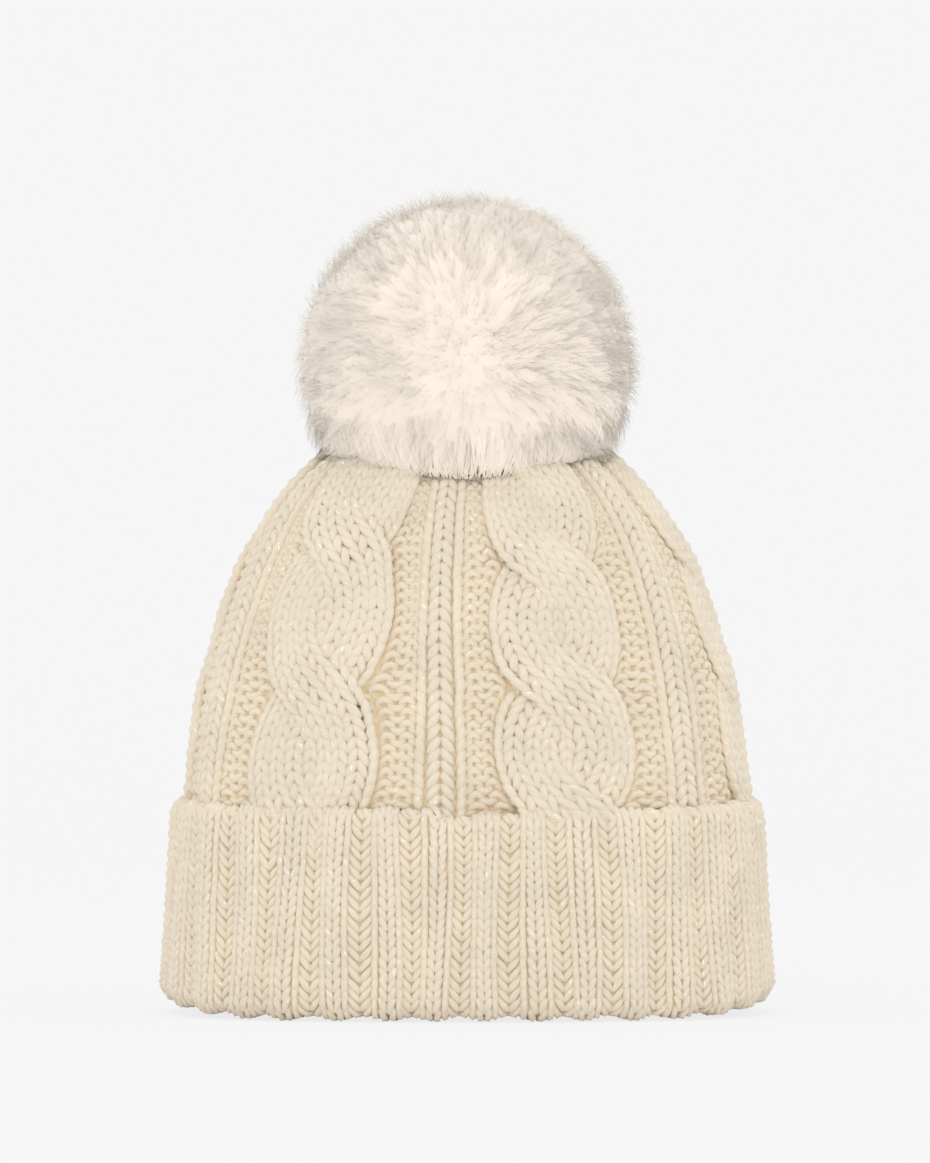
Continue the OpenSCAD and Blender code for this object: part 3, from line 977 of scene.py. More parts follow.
def fur_tree():
    """Plants strands on a ball and combs them out in locks. The strands stay curves until the end."""
    group, tree, inside = node_group("Fur Strands", [
        ("Strands", "Int", 8000), ("Seed", "Int", 1), ("Lowest", "Float", -1.0), ("Highest", "Float", 1.0),
        ("Centre", "Vector", (0, 0, 0)), ("Root Radius", "Float", 0.053), ("Tip Radius", "Float", 0.064),
        ("Ragged", "Float", 0.004), ("Lock Scale", "Float", 4.0), ("Lock Pull", "Float", 0.5),
        ("Comb", "Float", 0.5), ("Droop", "Float", 0.0), ("Stray", "Float", 0.1), ("Bulge", "Float", 0.003),
        ("Thickness", "Float", 0.0003), ("Steps", "Int", 4), ("Material", "Material", None)])
    given = inside.outputs
    seed = given["Seed"]
    ball = tree.add("GeometryNodeMeshIcoSphere", Radius=1.0, Subdivisions=5)
    density = tree.math("DIVIDE", given["Strands"], 2 * TURN)
    spots = tree.add("GeometryNodeDistributePointsOnFaces", Mesh=ball, Density=density, Seed=seed)
    place = tree.vector("NORMALIZE", tree.add("GeometryNodeInputPosition"))
    split = tree.add("ShaderNodeSeparateXYZ", Vector=place)
    height = split.outputs[2]
    out = tree.math("MAXIMUM", tree.math("LESS_THAN", height, given["Lowest"]),
                    tree.math("GREATER_THAN", height, given["Highest"]))
    spots = tree.add("GeometryNodeDeleteGeometry", {"domain": "POINT"}, Geometry=spots.outputs["Points"],
                     Selection=tree.math("GREATER_THAN", out, 0.5))
    # The pile is stroked from the middle of the front outwards, and from under the ball upwards
    facing = tree.math("MAXIMUM", tree.math("MULTIPLY_ADD", split.outputs[1], -0.6, 0.4), 0.0)
    stroked = tree.add("ShaderNodeCombineXYZ", Y=tree.math("MULTIPLY", facing, given["Comb"]),
                       Z=tree.math("MULTIPLY", given["Droop"], -1.0))
    way = tree.plus(place, stroked)
    # Neighbouring tips are drawn together in locks, and those in finer ones
    for scale, pull in ((1.0, 0.45), (2.6, 1.0)):
        locks = tree.add("ShaderNodeTexVoronoi", Vector=place, Randomness=1.0,
                         Scale=tree.math("MULTIPLY", given["Lock Scale"], scale))
        to_lock = tree.vector("SUBTRACT", tree.vector("NORMALIZE", locks.outputs["Position"]), place)
        way = tree.plus(way, tree.scaled(to_lock, tree.math("MULTIPLY", given["Lock Pull"], pull)))
    # A slow swirl turns whole locks one way or another, and each strand strays a little
    swirl = tree.add("ShaderNodeTexNoise", Vector=place, Scale=2.3, Detail=1.0).outputs["Color"]
    way = tree.plus(way, tree.scaled(tree.vector("SUBTRACT", swirl, (0.5, 0.5, 0.5)), 0.3))
    every_way = (-1, -1, -1), (1, 1, 1)
    way = tree.plus(way, tree.scaled(tree.random(seed, *every_way), given["Stray"]))
    way = tree.vector("NORMALIZE", way)
    # Each strand's length and tint. The tint varies at random and from lock to lock, and holds painted shade
    # that darkens the front of the ball against its sides
    lock_tint = tree.add("ShaderNodeSeparateXYZ", Vector=locks.outputs["Color"]).outputs
    share = tree.random(tree.math("ADD", seed, 3), -1.0, 0.8)
    share = tree.math("MULTIPLY_ADD", lock_tint[0], 0.5, share)
    tip = tree.scaled(way, tree.math("MULTIPLY_ADD", share, given["Ragged"], given["Tip Radius"]))
    root = tree.scaled(place, given["Root Radius"])
    tint = tree.random(tree.math("ADD", seed, 7), 0.4, 0.8)
    tint = tree.math("MULTIPLY_ADD", lock_tint[1], 0.2, tint)
    tint = tree.math("MULTIPLY_ADD", facing, -0.4, tint)
    sway = tree.scaled(tree.random(tree.math("ADD", seed, 5), *every_way), 0.45)
    bend = tree.scaled(tree.plus(place, sway), given["Bulge"])
    for label, kind, value in (("root", "FLOAT_VECTOR", root),
                               ("reach", "FLOAT_VECTOR", tree.vector("SUBTRACT", tip, root)),
                               ("bend", "FLOAT_VECTOR", bend), ("tint", "FLOAT", tint)):
        spots = tree.store(spots, label, value, kind)
    line = tree.add("GeometryNodeCurvePrimitiveLine")
    line = tree.add("GeometryNodeResampleCurve", Curve=line, Count=given["Steps"])
    planted = tree.add("GeometryNodeInstanceOnPoints", Points=spots, Instance=line)
    strands = tree.add("GeometryNodeRealizeInstances", Geometry=planted)
    # A strand runs from its root to its tip in a shallow bow
    along = tree.add("GeometryNodeSplineParameter").outputs["Factor"]
    root, reach, bend = (tree.named(label, "FLOAT_VECTOR") for label in ("root", "reach", "bend"))
    spot = tree.plus(tree.plus(given["Centre"], root), tree.scaled(reach, along))
    bow = tree.math("MULTIPLY", tree.math("MULTIPLY", tree.math("SUBTRACT", 1.0, along), along), 4.0)
    spot = tree.plus(spot, tree.scaled(bend, bow))
    strands = tree.add("GeometryNodeSetPosition", Geometry=strands, Position=spot)
    strands = tree.store(strands, "along", along)
    taper = tree.math("SUBTRACT", 1.08, tree.math("POWER", along, 2.0))
    ring = tree.add("GeometryNodeCurvePrimitiveCircle", Resolution=3, Radius=1.0)
    ring = tree.capture(ring, "Edge", tree.math("MODULO", tree.add("GeometryNodeInputIndex"), 2.0))
    mesh = tree.sweep(strands, ring.outputs["Geometry"], tree.math("MULTIPLY", given["Thickness"], taper))
    # Laid out for baking, a strand runs up the sheet at the place of its tint
    edge = tree.math("MULTIPLY", tree.named("tint"), 0.98)
    across = tree.math("MULTIPLY_ADD", ring.outputs["Edge"], 0.02, edge)
    up = tree.math("MULTIPLY_ADD", tree.named("along"), 0.98, 0.01)
    tree.finish(mesh, tree.add("ShaderNodeCombineXYZ", X=across, Y=up), given["Material"])
    return group


def crown_height(x, y, roundness=1.0):
    """Height of the crown's outer surface over a point, or of the cuff's top outside it. Roundness 0 gives
    the crown swept round, which clears the hat at every turn of the pom pom; 1 gives the crown itself."""
    half_w = CUFF_HALF_W - LAYER_INSET - CUFF_LEAN
    half_d = half_w + (CUFF_HALF_D - CUFF_HALF_W) * roundness
    ring = (np.abs(x / half_w) ** OUTLINE_POWER + np.abs(y / half_d) ** OUTLINE_POWER) ** (1 / OUTLINE_POWER)
    share = np.clip(1 - np.clip(ring, 0, 1) ** (1 / CROWN_EXPONENT), 0, 1) ** (1 / CROWN_POWER)
    return CUFF_TOP + (CROWN_TOP - CUFF_TOP) * share


HEART = np.array([0, 0, 150 * MM])  # the point from which fur is pushed out of the crown


def drape(points, roundness, clearance, softness=2.5 * MM):
    """Pushes points out of the crown, away from the hat's heart, so that fur spreads over it."""
    low = points[:, 2] < CROWN_TOP + 35 * MM
    near = points[low]
    way = near - HEART
    roundness = np.broadcast_to(roundness, len(points))[low]
    clearance = np.broadcast_to(clearance, len(points))[low]
    least, most = np.zeros(len(near)), np.full(len(near), 4.0)
    for _ in range(22):
        scale = (least + most) / 2
        x, y, z = (HEART + way * scale[:, None]).T
        outside = z > crown_height(x, y, roundness)
        least, most = np.where(outside, least, scale), np.where(outside, scale, most)
    reach = np.linalg.norm(way, axis=1)
    above = reach * (1 - (least + most) / 2) - clearance
    pushed = softness * np.logaddexp(0, above / softness)
    result = points.copy()
    result[low] = near + way / reach[:, None] * (pushed - above)[:, None]
    return result


def fur_material(name, root, tip):
    """Fine pile, darker at its roots, with a tint of its own on each strand, which also carries painted shade
    on the front of the ball.
    """
    material, tree = new_material(name)
    tint, along = tree.flat_place("OFBake")
    colour = tree.mix(tree.spread(along, 0.1, 0.8, 0.0, 1.0), rgba(root), rgba(tip))
    colour = tree.mix(1.0, colour, tree.spread(tint, 0.0, 1.0, 0.9, 1.03), "MULTIPLY")
    tree.surface(colour, 0.9, Specular_IOR_Level=0.1)
    return material


def underfur_material(name, root, tip):
    """The thick of the pile: combed furrows, with painted shade that darkens the furrows and the front of the
    ball, and random mottling.
    """
    material, tree = new_material(name)
    tone_and_shade = tree.add("ShaderNodeAttribute", {"attribute_name": "tone_and_shade"}).outputs["Fac"]
    noise = tree.noise(tree.place(), 700.0, 3.0)
    tone_and_shade = tree.math("MULTIPLY_ADD", tree.math("SUBTRACT", noise, 0.5), 0.5, tone_and_shade)
    tree.surface(tree.mix(tone_and_shade, rgba(root), rgba(tip)), 0.95, Normal=tree.bump(noise, 0.35, 0.6 * MM))
    return material


def flatten_out(mesh, plan):
    """A UV map from one place for each vertex, where 0 to 1 goes once round either way and the faces at a
    join are kept whole. A pole, whose place round is unknown, takes the middle of its face's others."""
    corners = np.empty(len(mesh.loops), np.int32)
    mesh.loops.foreach_get("vertex_index", corners)
    starts = np.empty(len(mesh.polygons), np.int32)
    mesh.polygons.foreach_get("loop_start", starts)
    places = plan[corners].copy()
    face = np.repeat(np.arange(len(starts)), np.diff(np.append(starts, len(corners))))
    for way in (0, 1):
        column = places[:, way]
        known = ~np.isnan(column)
        highest = np.full(len(starts), -np.inf)
        np.maximum.at(highest, face[known], column[known])
        column[known & (column < highest[face] - 0.5)] += 1
        total, number = np.zeros(len(starts)), np.zeros(len(starts))
        np.add.at(total, face[known], column[known])
        np.add.at(number, face[known], 1)
        column[~known] = (total / np.maximum(number, 1))[face[~known]]
        places[:, way] = column / max(1.0, column.max())
    layer = mesh.uv_layers.new(name="OFBake")
    layer.data.foreach_set("uv", places.astype(np.float32).ravel())


def round_axis(radius, turn, z):
    """Points at a distance and a turn round the hat's axis."""
    return np.stack(np.broadcast_arrays(radius * np.cos(turn), radius * np.sin(turn), z), -1)


def revolved(name, profile, around=96):
    """A closed surface of revolution. The profile is (radius, height) pairs. It starts and ends on the
    axis, or else it is a loop clear of the axis. It runs so that the outside is on its left."""
    angle = np.arange(around) * TURN / around
    capped = profile[0][0] == 0
    inner = np.array(profile[1:-1] if capped else profile)
    rings = len(inner)
    points = round_axis(inner[:, 0], angle[:, None], inner[:, 1]).reshape(-1, 3)
    ring = (np.arange(rings) + 1) / (rings + 1) if capped else np.arange(rings) / rings
    plan = np.stack(np.meshgrid(np.arange(around) / around, ring, indexing="ij"), -1).reshape(-1, 2)
    first = around * rings
    faces = []
    for i in range(around):
        j = (i + 1) % around
        if capped:
            faces.append((first, i * rings, j * rings))
            faces.append((first + 1, j * rings + rings - 1, i * rings + rings - 1))
        for k in range(rings - 1 if capped else rings):
            n = (k + 1) % rings
            faces.append((i * rings + k, i * rings + n, j * rings + n, j * rings + k))
    if capped:
        points = np.concatenate([points, [(0, 0, profile[0][1]), (0, 0, profile[-1][1])]])
        plan = np.concatenate([plan, [(np.nan, 0), (np.nan, 1)]])
    mesh = bpy.data.meshes.new(name)
    mesh.from_pydata(points.tolist(), [], faces)
    mesh.shade_smooth()
    flatten_out(mesh, plan)
    return link(bpy.data.objects.new(name, mesh))


def felt_ring(name, inner, outer, low, high, material):
    """A thick felt disc with a hole, with soft edges and an uneven surface."""
    soft = (high - low) * 0.35
    corners = ((inner, low, 1, 1), (inner, high, 1, -1), (outer, high, -1, -1), (outer, low, -1, 1))
    profile = []
    for number, (radius, z, way_r, way_z) in enumerate(corners):
        for turn in np.linspace(0, TURN / 4, 4):
            a, b = (math.cos(turn), math.sin(turn)) if number % 2 else (math.sin(turn), math.cos(turn))
            profile.append((radius + way_r * soft * (1 - b), z + way_z * soft * (1 - a)))
        if number in (1, 3):
            start, end = (inner, outer) if number == 1 else (outer, inner)
            flat = np.linspace(start, end, 16)[1:-1]
            profile += [(r, z) for r in flat if inner + soft < r < outer - soft]
    obj = revolved(name, profile, 96)
    points = mesh_points(obj.data)
    bumpy = Ripples(51, 1.5 * MM, 6 * MM)(points)
    points[:, 2] += 0.07 * MM * bumpy
    reshape(obj, points, material)
    return obj


def twisted_ring(radius, height, thickness, twists):
    """Two plies twisted together into a ring of yarn."""
    turn = np.linspace(0, TURN * 1.01, 160)
    paths = []
    for ply in (0, 1):
        wound = twists * turn + ply * TURN / 2
        out = radius + thickness / 2 * np.cos(wound)
        z = height + thickness / 2 * np.sin(wound)
        points = round_axis(out, turn, z)
        paths.append((points, thickness / 2, 0.8, float(ply), turn / turn[-1]))
    return paths


def edge_stitches(number, inner, outer, low, high, thickness):
    """Whip stitches round the edge of a disc: each comes out near the edge, goes over it and down again."""
    paths = []
    for stitch in range(number):
        t = np.linspace(0, 1, 9)
        radius = inner + (outer - inner) * np.clip(t * 2, 0, 1) ** 0.8
        z = low + (high - low) * np.clip(t * 2 - 1, 0, 1)
        z = z - thickness * 0.7 * np.sin(np.clip(t * 2, 0, 1) * TURN / 2)
        turn = (stitch + 0.45 * t) * TURN / number
        points = round_axis(radius, turn, z)
        paths.append((points, thickness, 0.8, float(stitch), t))
    return paths


class Ripples:
    """Smooth random waves in space, the same for the same seed."""

    def __init__(self, seed, shortest, longest, count=40):
        rng = np.random.default_rng(seed)
        ways = unit(rng.normal(0, 1, (count, 3)))
        lengths = rng.uniform(shortest, longest, (count, 1))
        self.waves = (ways * TURN / lengths).T.astype(np.float32)
        self.starts = rng.uniform(0, TURN, count).astype(np.float32)
        self.scale = math.sqrt(2 / count)

    def __call__(self, places):
        return np.cos(places.astype(np.float32) @ self.waves + self.starts).sum(-1) * self.scale


def stroke(ways, swirls):
    """The way the pile lies at each place of the ball: away from the middle of the front, with swirls."""
    turned = np.stack([swirl(ways) for swirl in swirls], -1) * 0.16
    lie = turned + np.stack([np.zeros(len(ways)), 0.9 * np.clip(-ways[:, 1], 0, 1), np.zeros(len(ways))], -1)
    lie -= ways * (lie * ways).sum(-1, keepdims=True)
    return unit(lie)


def furrows(ways):
    """Height of the combed pile's furrows at each place of the ball, from about -1 to 1."""
    swirls = [Ripples(31 + k, 0.9, 2.0, 12) for k in range(3)]
    fine, broad = Ripples(41, 0.04, 0.10, 48), Ripples(42, 0.12, 0.3, 24)
    total = fine(ways) + 0.8 * broad(ways)
    steps = 9
    for side in (-1, 1):
        spot = ways
        for _ in range(steps):
            spot = unit(spot + side * 0.014 * stroke(spot, swirls))
            total = total + fine(spot) + 0.8 * broad(spot)
    return np.tanh(total / (2 * steps + 1) / 0.75)


# ---------------------------------------------------------------- operators


class Making:
    """What the operators share: the scene's settings."""

    @property
    def yarn(self):
        return bpy.context.scene.beanie_yarn

    @property
    def colours(self):
        return bpy.context.scene.beanie_colours

    def wool(self, name, radius):
        return painted(yarn_material, name, self.colours.yarn, self.colours.yarn_painted_shade, radius)

    def web(self):
        # The web is painted in the yarn's shade colour
        return painted(web_material, "yarn_web", self.colours.yarn_painted_shade)

    def felt(self):
        return painted(felt_material, "cream_felt", (0.80, 0.72, 0.58))

    def plate(self, *nodes):
        """Gives the metal pieces, which stay as the frame holds them, their finish."""
        for node in nodes:
            metal = painted(metal_material, "plated_steel", (0.74, 0.73, 0.70), 0.22)
            if node == "snap_spring_ring":
                metal = painted(metal_material, "spring_steel", (0.80, 0.80, 0.80), 0.16)
            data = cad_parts[node].data
            data.materials.clear()
            data.materials.append(metal)


class BEANIE_OT_body(Making, bpy.types.Operator):
    """Knits the body: cables, purl valleys and ribs, with the decreases at the crown"""

    bl_idname = "beanie.body"
    bl_label = "Knit Body"

    def execute(self, context):
        rng = np.random.default_rng(11)
        yarn = self.yarn
        wool = self.wool("body_yarn", yarn.body_yarn)
        paths, rows = body_courses(yarn, rng)
        thirds = np.array_split(np.arange(rows + 1), 3)
        for name, part in zip(("cable_knit_lower", "cable_knit_middle", "cable_knit_upper"), thirds):
            mine = [(*p[:3], p[3] - part[0], p[4]) for p in paths if part[0] <= p[3] <= part[-1]]
            obj = tubes(name, mine, wool, 6, len(part))
            nodes = ["cable_knit_body"] if name == "cable_knit_lower" else []
            finish_piece(obj, "hat", "cable_knit", *nodes)
        paths = crown_courses(yarn, rng, rows + 1)
        obj = tubes("crown_decreases", paths, wool, 6, paths[-1][3] + 1)
        finish_piece(obj, "hat", "cable_knit")
        reach = meridian[0][-1] - 9 * MM
        lengths = np.linspace(0, reach, 60)
        obj = fabric_web("cable_knit_web", body_surface, 1, body_pattern, body_stitches(yarn), lengths,
                         0.45 * MM, self.web(), yarn.body_row, body_cables(yarn), 1.5 * MM)
        finish_piece(obj, "hat", "cable_knit")
        return {"FINISHED"}


class BEANIE_OT_ribbing(Making, bpy.types.Operator):
    """Knits the turned-up cuff, its fold and the ribbing behind it"""

    bl_idname = "beanie.ribbing"
    bl_label = "Knit Ribbing"

    def execute(self, context):
        rng = np.random.default_rng(12)
        yarn = self.yarn
        wool = self.wool("rib_yarn", yarn.rib_yarn)
        first = 3.4 * MM
        rows = int((fold[0][-1] - first) / yarn.rib_row)
        outer = int((fold[0][-1] - (RIB_END + 8 * MM)) / yarn.rib_row)
        for name, part, node in (("cuff_ribbing", np.arange(0, outer), "turned_up_cuff"),
                                 ("band_ribbing", np.arange(outer, rows), "inner_rib_band")):
            for half, share in zip(("upper", "lower"), np.array_split(part, 2)):
                paths = rib_courses(yarn, share, first, rng)
                obj = tubes(f"{name}_{half}", paths, wool, 5 if "band" in name else 6, len(share))
                finish_piece(obj, "hat", "rib_knit", *([node] if half == "upper" else []))
        lengths = np.concatenate([np.linspace(0, 8 * MM, 9), np.linspace(11 * MM, fold[0][-1], 48)])
        obj = fabric_web("ribbing_web", rib_surface, -1, rib_pattern, rib_stitches(yarn), lengths,
                         0.3 * MM, self.web(), yarn.rib_row)
        finish_piece(obj, "hat", "rib_knit")
        return {"FINISHED"}


class BEANIE_OT_edges(Making, bpy.types.Operator):
    """Adds the cast-on edge along the top of the cuff and the whip-stitched seam inside"""

    bl_idname = "beanie.edges"
    bl_label = "Sew Edges"

    def execute(self, context):
        yarn = self.yarn
        wool = self.wool("rib_yarn", yarn.rib_yarn)
        rng = np.random.default_rng(13)
        paths = self.cast_on(yarn, rng)
        finish_piece(tubes("cast_on_edge", paths, wool, 6, paths[-1][3] + 1), "hat", "rib_knit")
        paths = self.seam()
        finish_piece(tubes("inner_seam", paths, wool, 6, paths[-1][3] + 1), "hat", "yarn", "joining_seam")
        return {"FINISHED"}

    def cast_on(self, yarn, rng):
        """A slanted loop over the edge for each stitch."""
        count = rib_stitches(yarn)
        over = np.linspace(0, 1, 10)
        paths = []
        for stitch in range(count):
            place = stitch + 0.15 + 0.7 * over + 0.05 * rng.normal()
            length = 0.3 * MM + 6.6 * MM * over
            drift = wander(place, length / yarn.rib_row, count)
            share = SEAM_SHARE + (rib_pattern.across(place) + drift) / count
            out = (0.15 + 0.75 * np.sin(over * TURN / 2)) * MM + 0.08 * MM * rng.normal()
            points = lay_on(rib_surface, -1, None, share, length, place, out, 0)
            width = yarn.rib_yarn * (0.9 + 0.25 * np.sin(over * TURN / 2))
            paths.append((points, width, 0.9, float(stitch), over))
        return paths

    def seam(self):
        """Two edge cords drawn together by whip stitches, up the inside of the hat."""
        ribbing = self.ridge(rib_surface, -1, fold[0], fold[2], 8 * MM, RIB_END, 3.2 * MM)
        body = self.ridge(body_surface, 1, meridian[0], meridian[1], RIB_END + 6 * MM, 182 * MM, -3.9 * MM)
        middle = np.concatenate([ribbing, body])
        length = travelled(*middle.T)
        spots = np.linspace(0, length[-1], 220)
        middle = np.stack([np.interp(spots, length, axis) for axis in middle.T], -1)
        paths = []
        for course, side in enumerate((-1, 1)):
            bumpy = 0.25 * MM * np.sin(spots * TURN / (3.7 * MM) + side)
            cord = middle + np.stack([side * 1.15 * MM + 0 * spots, bumpy, 0 * spots], -1)
            paths.append((cord, 1.05 * MM, 0.8, float(course), spots / spots[-1]))
        turns = spots[-1] / (5.5 * MM)
        fine = np.linspace(0, 1, int(turns * 12))
        along = fine * spots[-1]
        base = np.stack([np.interp(along, spots, axis) for axis in middle.T], -1)
        wound = fine * turns * TURN
        whip = base + np.stack([2.1 * MM * np.cos(wound), 1.3 * MM * np.sin(wound), 0 * wound], -1)
        paths.append((whip, 0.6 * MM, 0.9, 2.0, fine))
        return paths

    def ridge(self, surface, face, lengths, heights, low, high, out):
        """Points up the inside of the hat at the seam."""
        z = np.linspace(low, high, 60)
        rising = np.argmin(heights)
        if rising > 5:  # past the fold, where the ribbing comes up again
            length = np.interp(z, heights[rising:], lengths[rising:])
        else:
            length = np.interp(z, heights, lengths)
        share = np.full(len(z), SEAM_SHARE)
        for _ in range(3):
            x = surface(share, length)[:, 0]
            share = share * SEAM_X / x
        return lay_on(surface, face, None, share, length, share, np.full(len(z), out), 0)


class BEANIE_OT_crown(Making, bpy.types.Operator):
    """Gathers the crown with yarn and backs it with a felt disc and the lower half of the press stud"""

    bl_idname = "beanie.crown"
    bl_label = "Finish Crown"

    def execute(self, context):
        low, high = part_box("crown_gather_yarn")
        radius = (high.z - low.z) / 2
        wool = self.wool("body_yarn", self.yarn.body_yarn)
        paths = twisted_ring(high.x - radius, (low.z + high.z) / 2, radius, 6)
        finish_piece(tubes("gather_yarn", paths, wool, 8, 2), "hat", "yarn", "crown_gather_yarn")
        low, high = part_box("crown_backing_disc")
        disc = felt_ring("felt_disc", 1.5 * MM, high.x - 0.2 * MM, low.z, high.z, self.felt())
        finish_piece(disc, "hat", "felt", "crown_backing_disc")
        paths = edge_stitches(22, high.x - 2.4 * MM, high.x + 0.3 * MM, low.z, high.z + 1.6 * MM, 0.32 * MM)
        finish_piece(tubes("disc_stitches", paths, wool, 6, 22), "hat", "yarn")
        self.plate("snap_cap_inner", "snap_socket", "snap_spring_ring")
        return {"FINISHED"}


class BEANIE_OT_pom_base(Making, bpy.types.Operator):
    """Makes the stuffed ball under the fur, its felt patch and the upper half of the press stud"""

    bl_idname = "beanie.pom_base"
    bl_label = "Make Pom Pom Base"

    SLOPE = math.tan(math.radians(12))  # of the cone that the ball rocks on, just over its travel
    PLEATS = 40  # of the backing, where the thread gathers it

    def execute(self, context):
        wool = self.wool("rib_yarn", self.yarn.rib_yarn)
        low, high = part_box("pom_base_patch")
        patch = felt_ring("felt_patch", 1.5 * MM, high.x, low.z + 0.1 * MM, high.z - 0.1 * MM, self.felt())
        finish_piece(patch, "pom_base", "felt", "pom_base_patch")
        self.plate("snap_stud", "snap_cap_pom")
        self.backing()
        self.filling()
        low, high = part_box("pom_gather_thread")
        thickness = (high.z - low.z) / 2
        low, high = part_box("pom_backing_fabric")
        reach, height = self.rim(high.x, low.z)
        paths = twisted_ring(reach - thickness / 2, height, thickness, self.PLEATS)
        finish_piece(tubes("gather_thread", paths, wool, 6, 2), "pom_ball", "yarn", "pom_gather_thread")
        return {"FINISHED"}

    def rim(self, radius, bottom):
        """Where a ball meets the cone that it rocks on: its distance from the axis and its height."""
        drop, spread = bottom - POM_MIDDLE[2], 1 + self.SLOPE ** 2
        reach = (math.sqrt(radius ** 2 * spread - drop ** 2) - self.SLOPE * drop) / spread
        return reach, bottom + self.SLOPE * reach

    def ball(self, radius, bottom, steps):
        """Profile of a ball about the pom pom's middle, cut off below by the cone that it rocks on."""
        centre = POM_MIDDLE[2]
        reach, height = self.rim(radius, bottom)
        end = math.acos((height - centre) / radius)
        profile = [(radius * math.sin(a), centre + radius * math.cos(a)) for a in np.linspace(0, end, steps)]
        profile[0] = (0, profile[0][1])
        cone = np.linspace(reach, 0, 10)[1:]
        return profile + [(r, bottom + self.SLOPE * r) for r in cone]

    def backing(self):
        """Woven cloth drawn up into a ball, with pleats where the thread gathers it."""
        low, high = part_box("pom_backing_fabric")
        wall = 0.8 * MM
        outer = self.ball(high.x - 0.05 * MM, low.z + 0.05 * MM, 50)
        inner = self.ball(high.x - 0.05 * MM - wall, low.z + wall, 30)
        pinhole = 0.2 * MM
        profile = outer[:-1] + [(pinhole, outer[-1][1]), (pinhole, inner[-1][1])] + inner[:-1][::-1]
        profile[-1] = (0, profile[-1][1])
        obj = revolved("woven_backing", profile, 240)
        points = mesh_points(obj.data)
        angle = np.arctan2(points[:, 1], points[:, 0])
        gathered = np.clip((POM_MIDDLE[2] - points[:, 2]) / (13 * MM), 0, 1) ** 2
        radius = np.hypot(points[:, 0], points[:, 1])
        pleats = (1 + np.cos(self.PLEATS * angle)) / 2
        drawn = 0.35 * MM * gathered * pleats * np.clip(radius / (18 * MM), 0, 1) ** 4
        points[:, :2] *= (1 - drawn / np.maximum(radius, MM))[:, None]
        reshape(obj, points, painted(weave_material, "backing_weave", (0.82, 0.73, 0.62)))
        finish_piece(obj, "pom_ball", "fur_backing", "pom_backing_fabric")

    def filling(self):
        """Wadding packed into the backing."""
        low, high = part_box("pom_filling")
        profile = self.ball(high.x - 0.3 * MM, low.z + 0.2 * MM, 40)
        obj = revolved("wadding", profile, 96)
        points = mesh_points(obj.data)
        lumps = Ripples(61, 6 * MM, 16 * MM)(points)
        points = POM_MIDDLE + (points - POM_MIDDLE) * (1 - 0.012 * np.clip(lumps + 1.2, 0, 3))[:, None]
        reshape(obj, points, painted(felt_material, "white_wadding", (0.86, 0.86, 0.85)))
        finish_piece(obj, "pom_ball", "filling", "pom_filling")


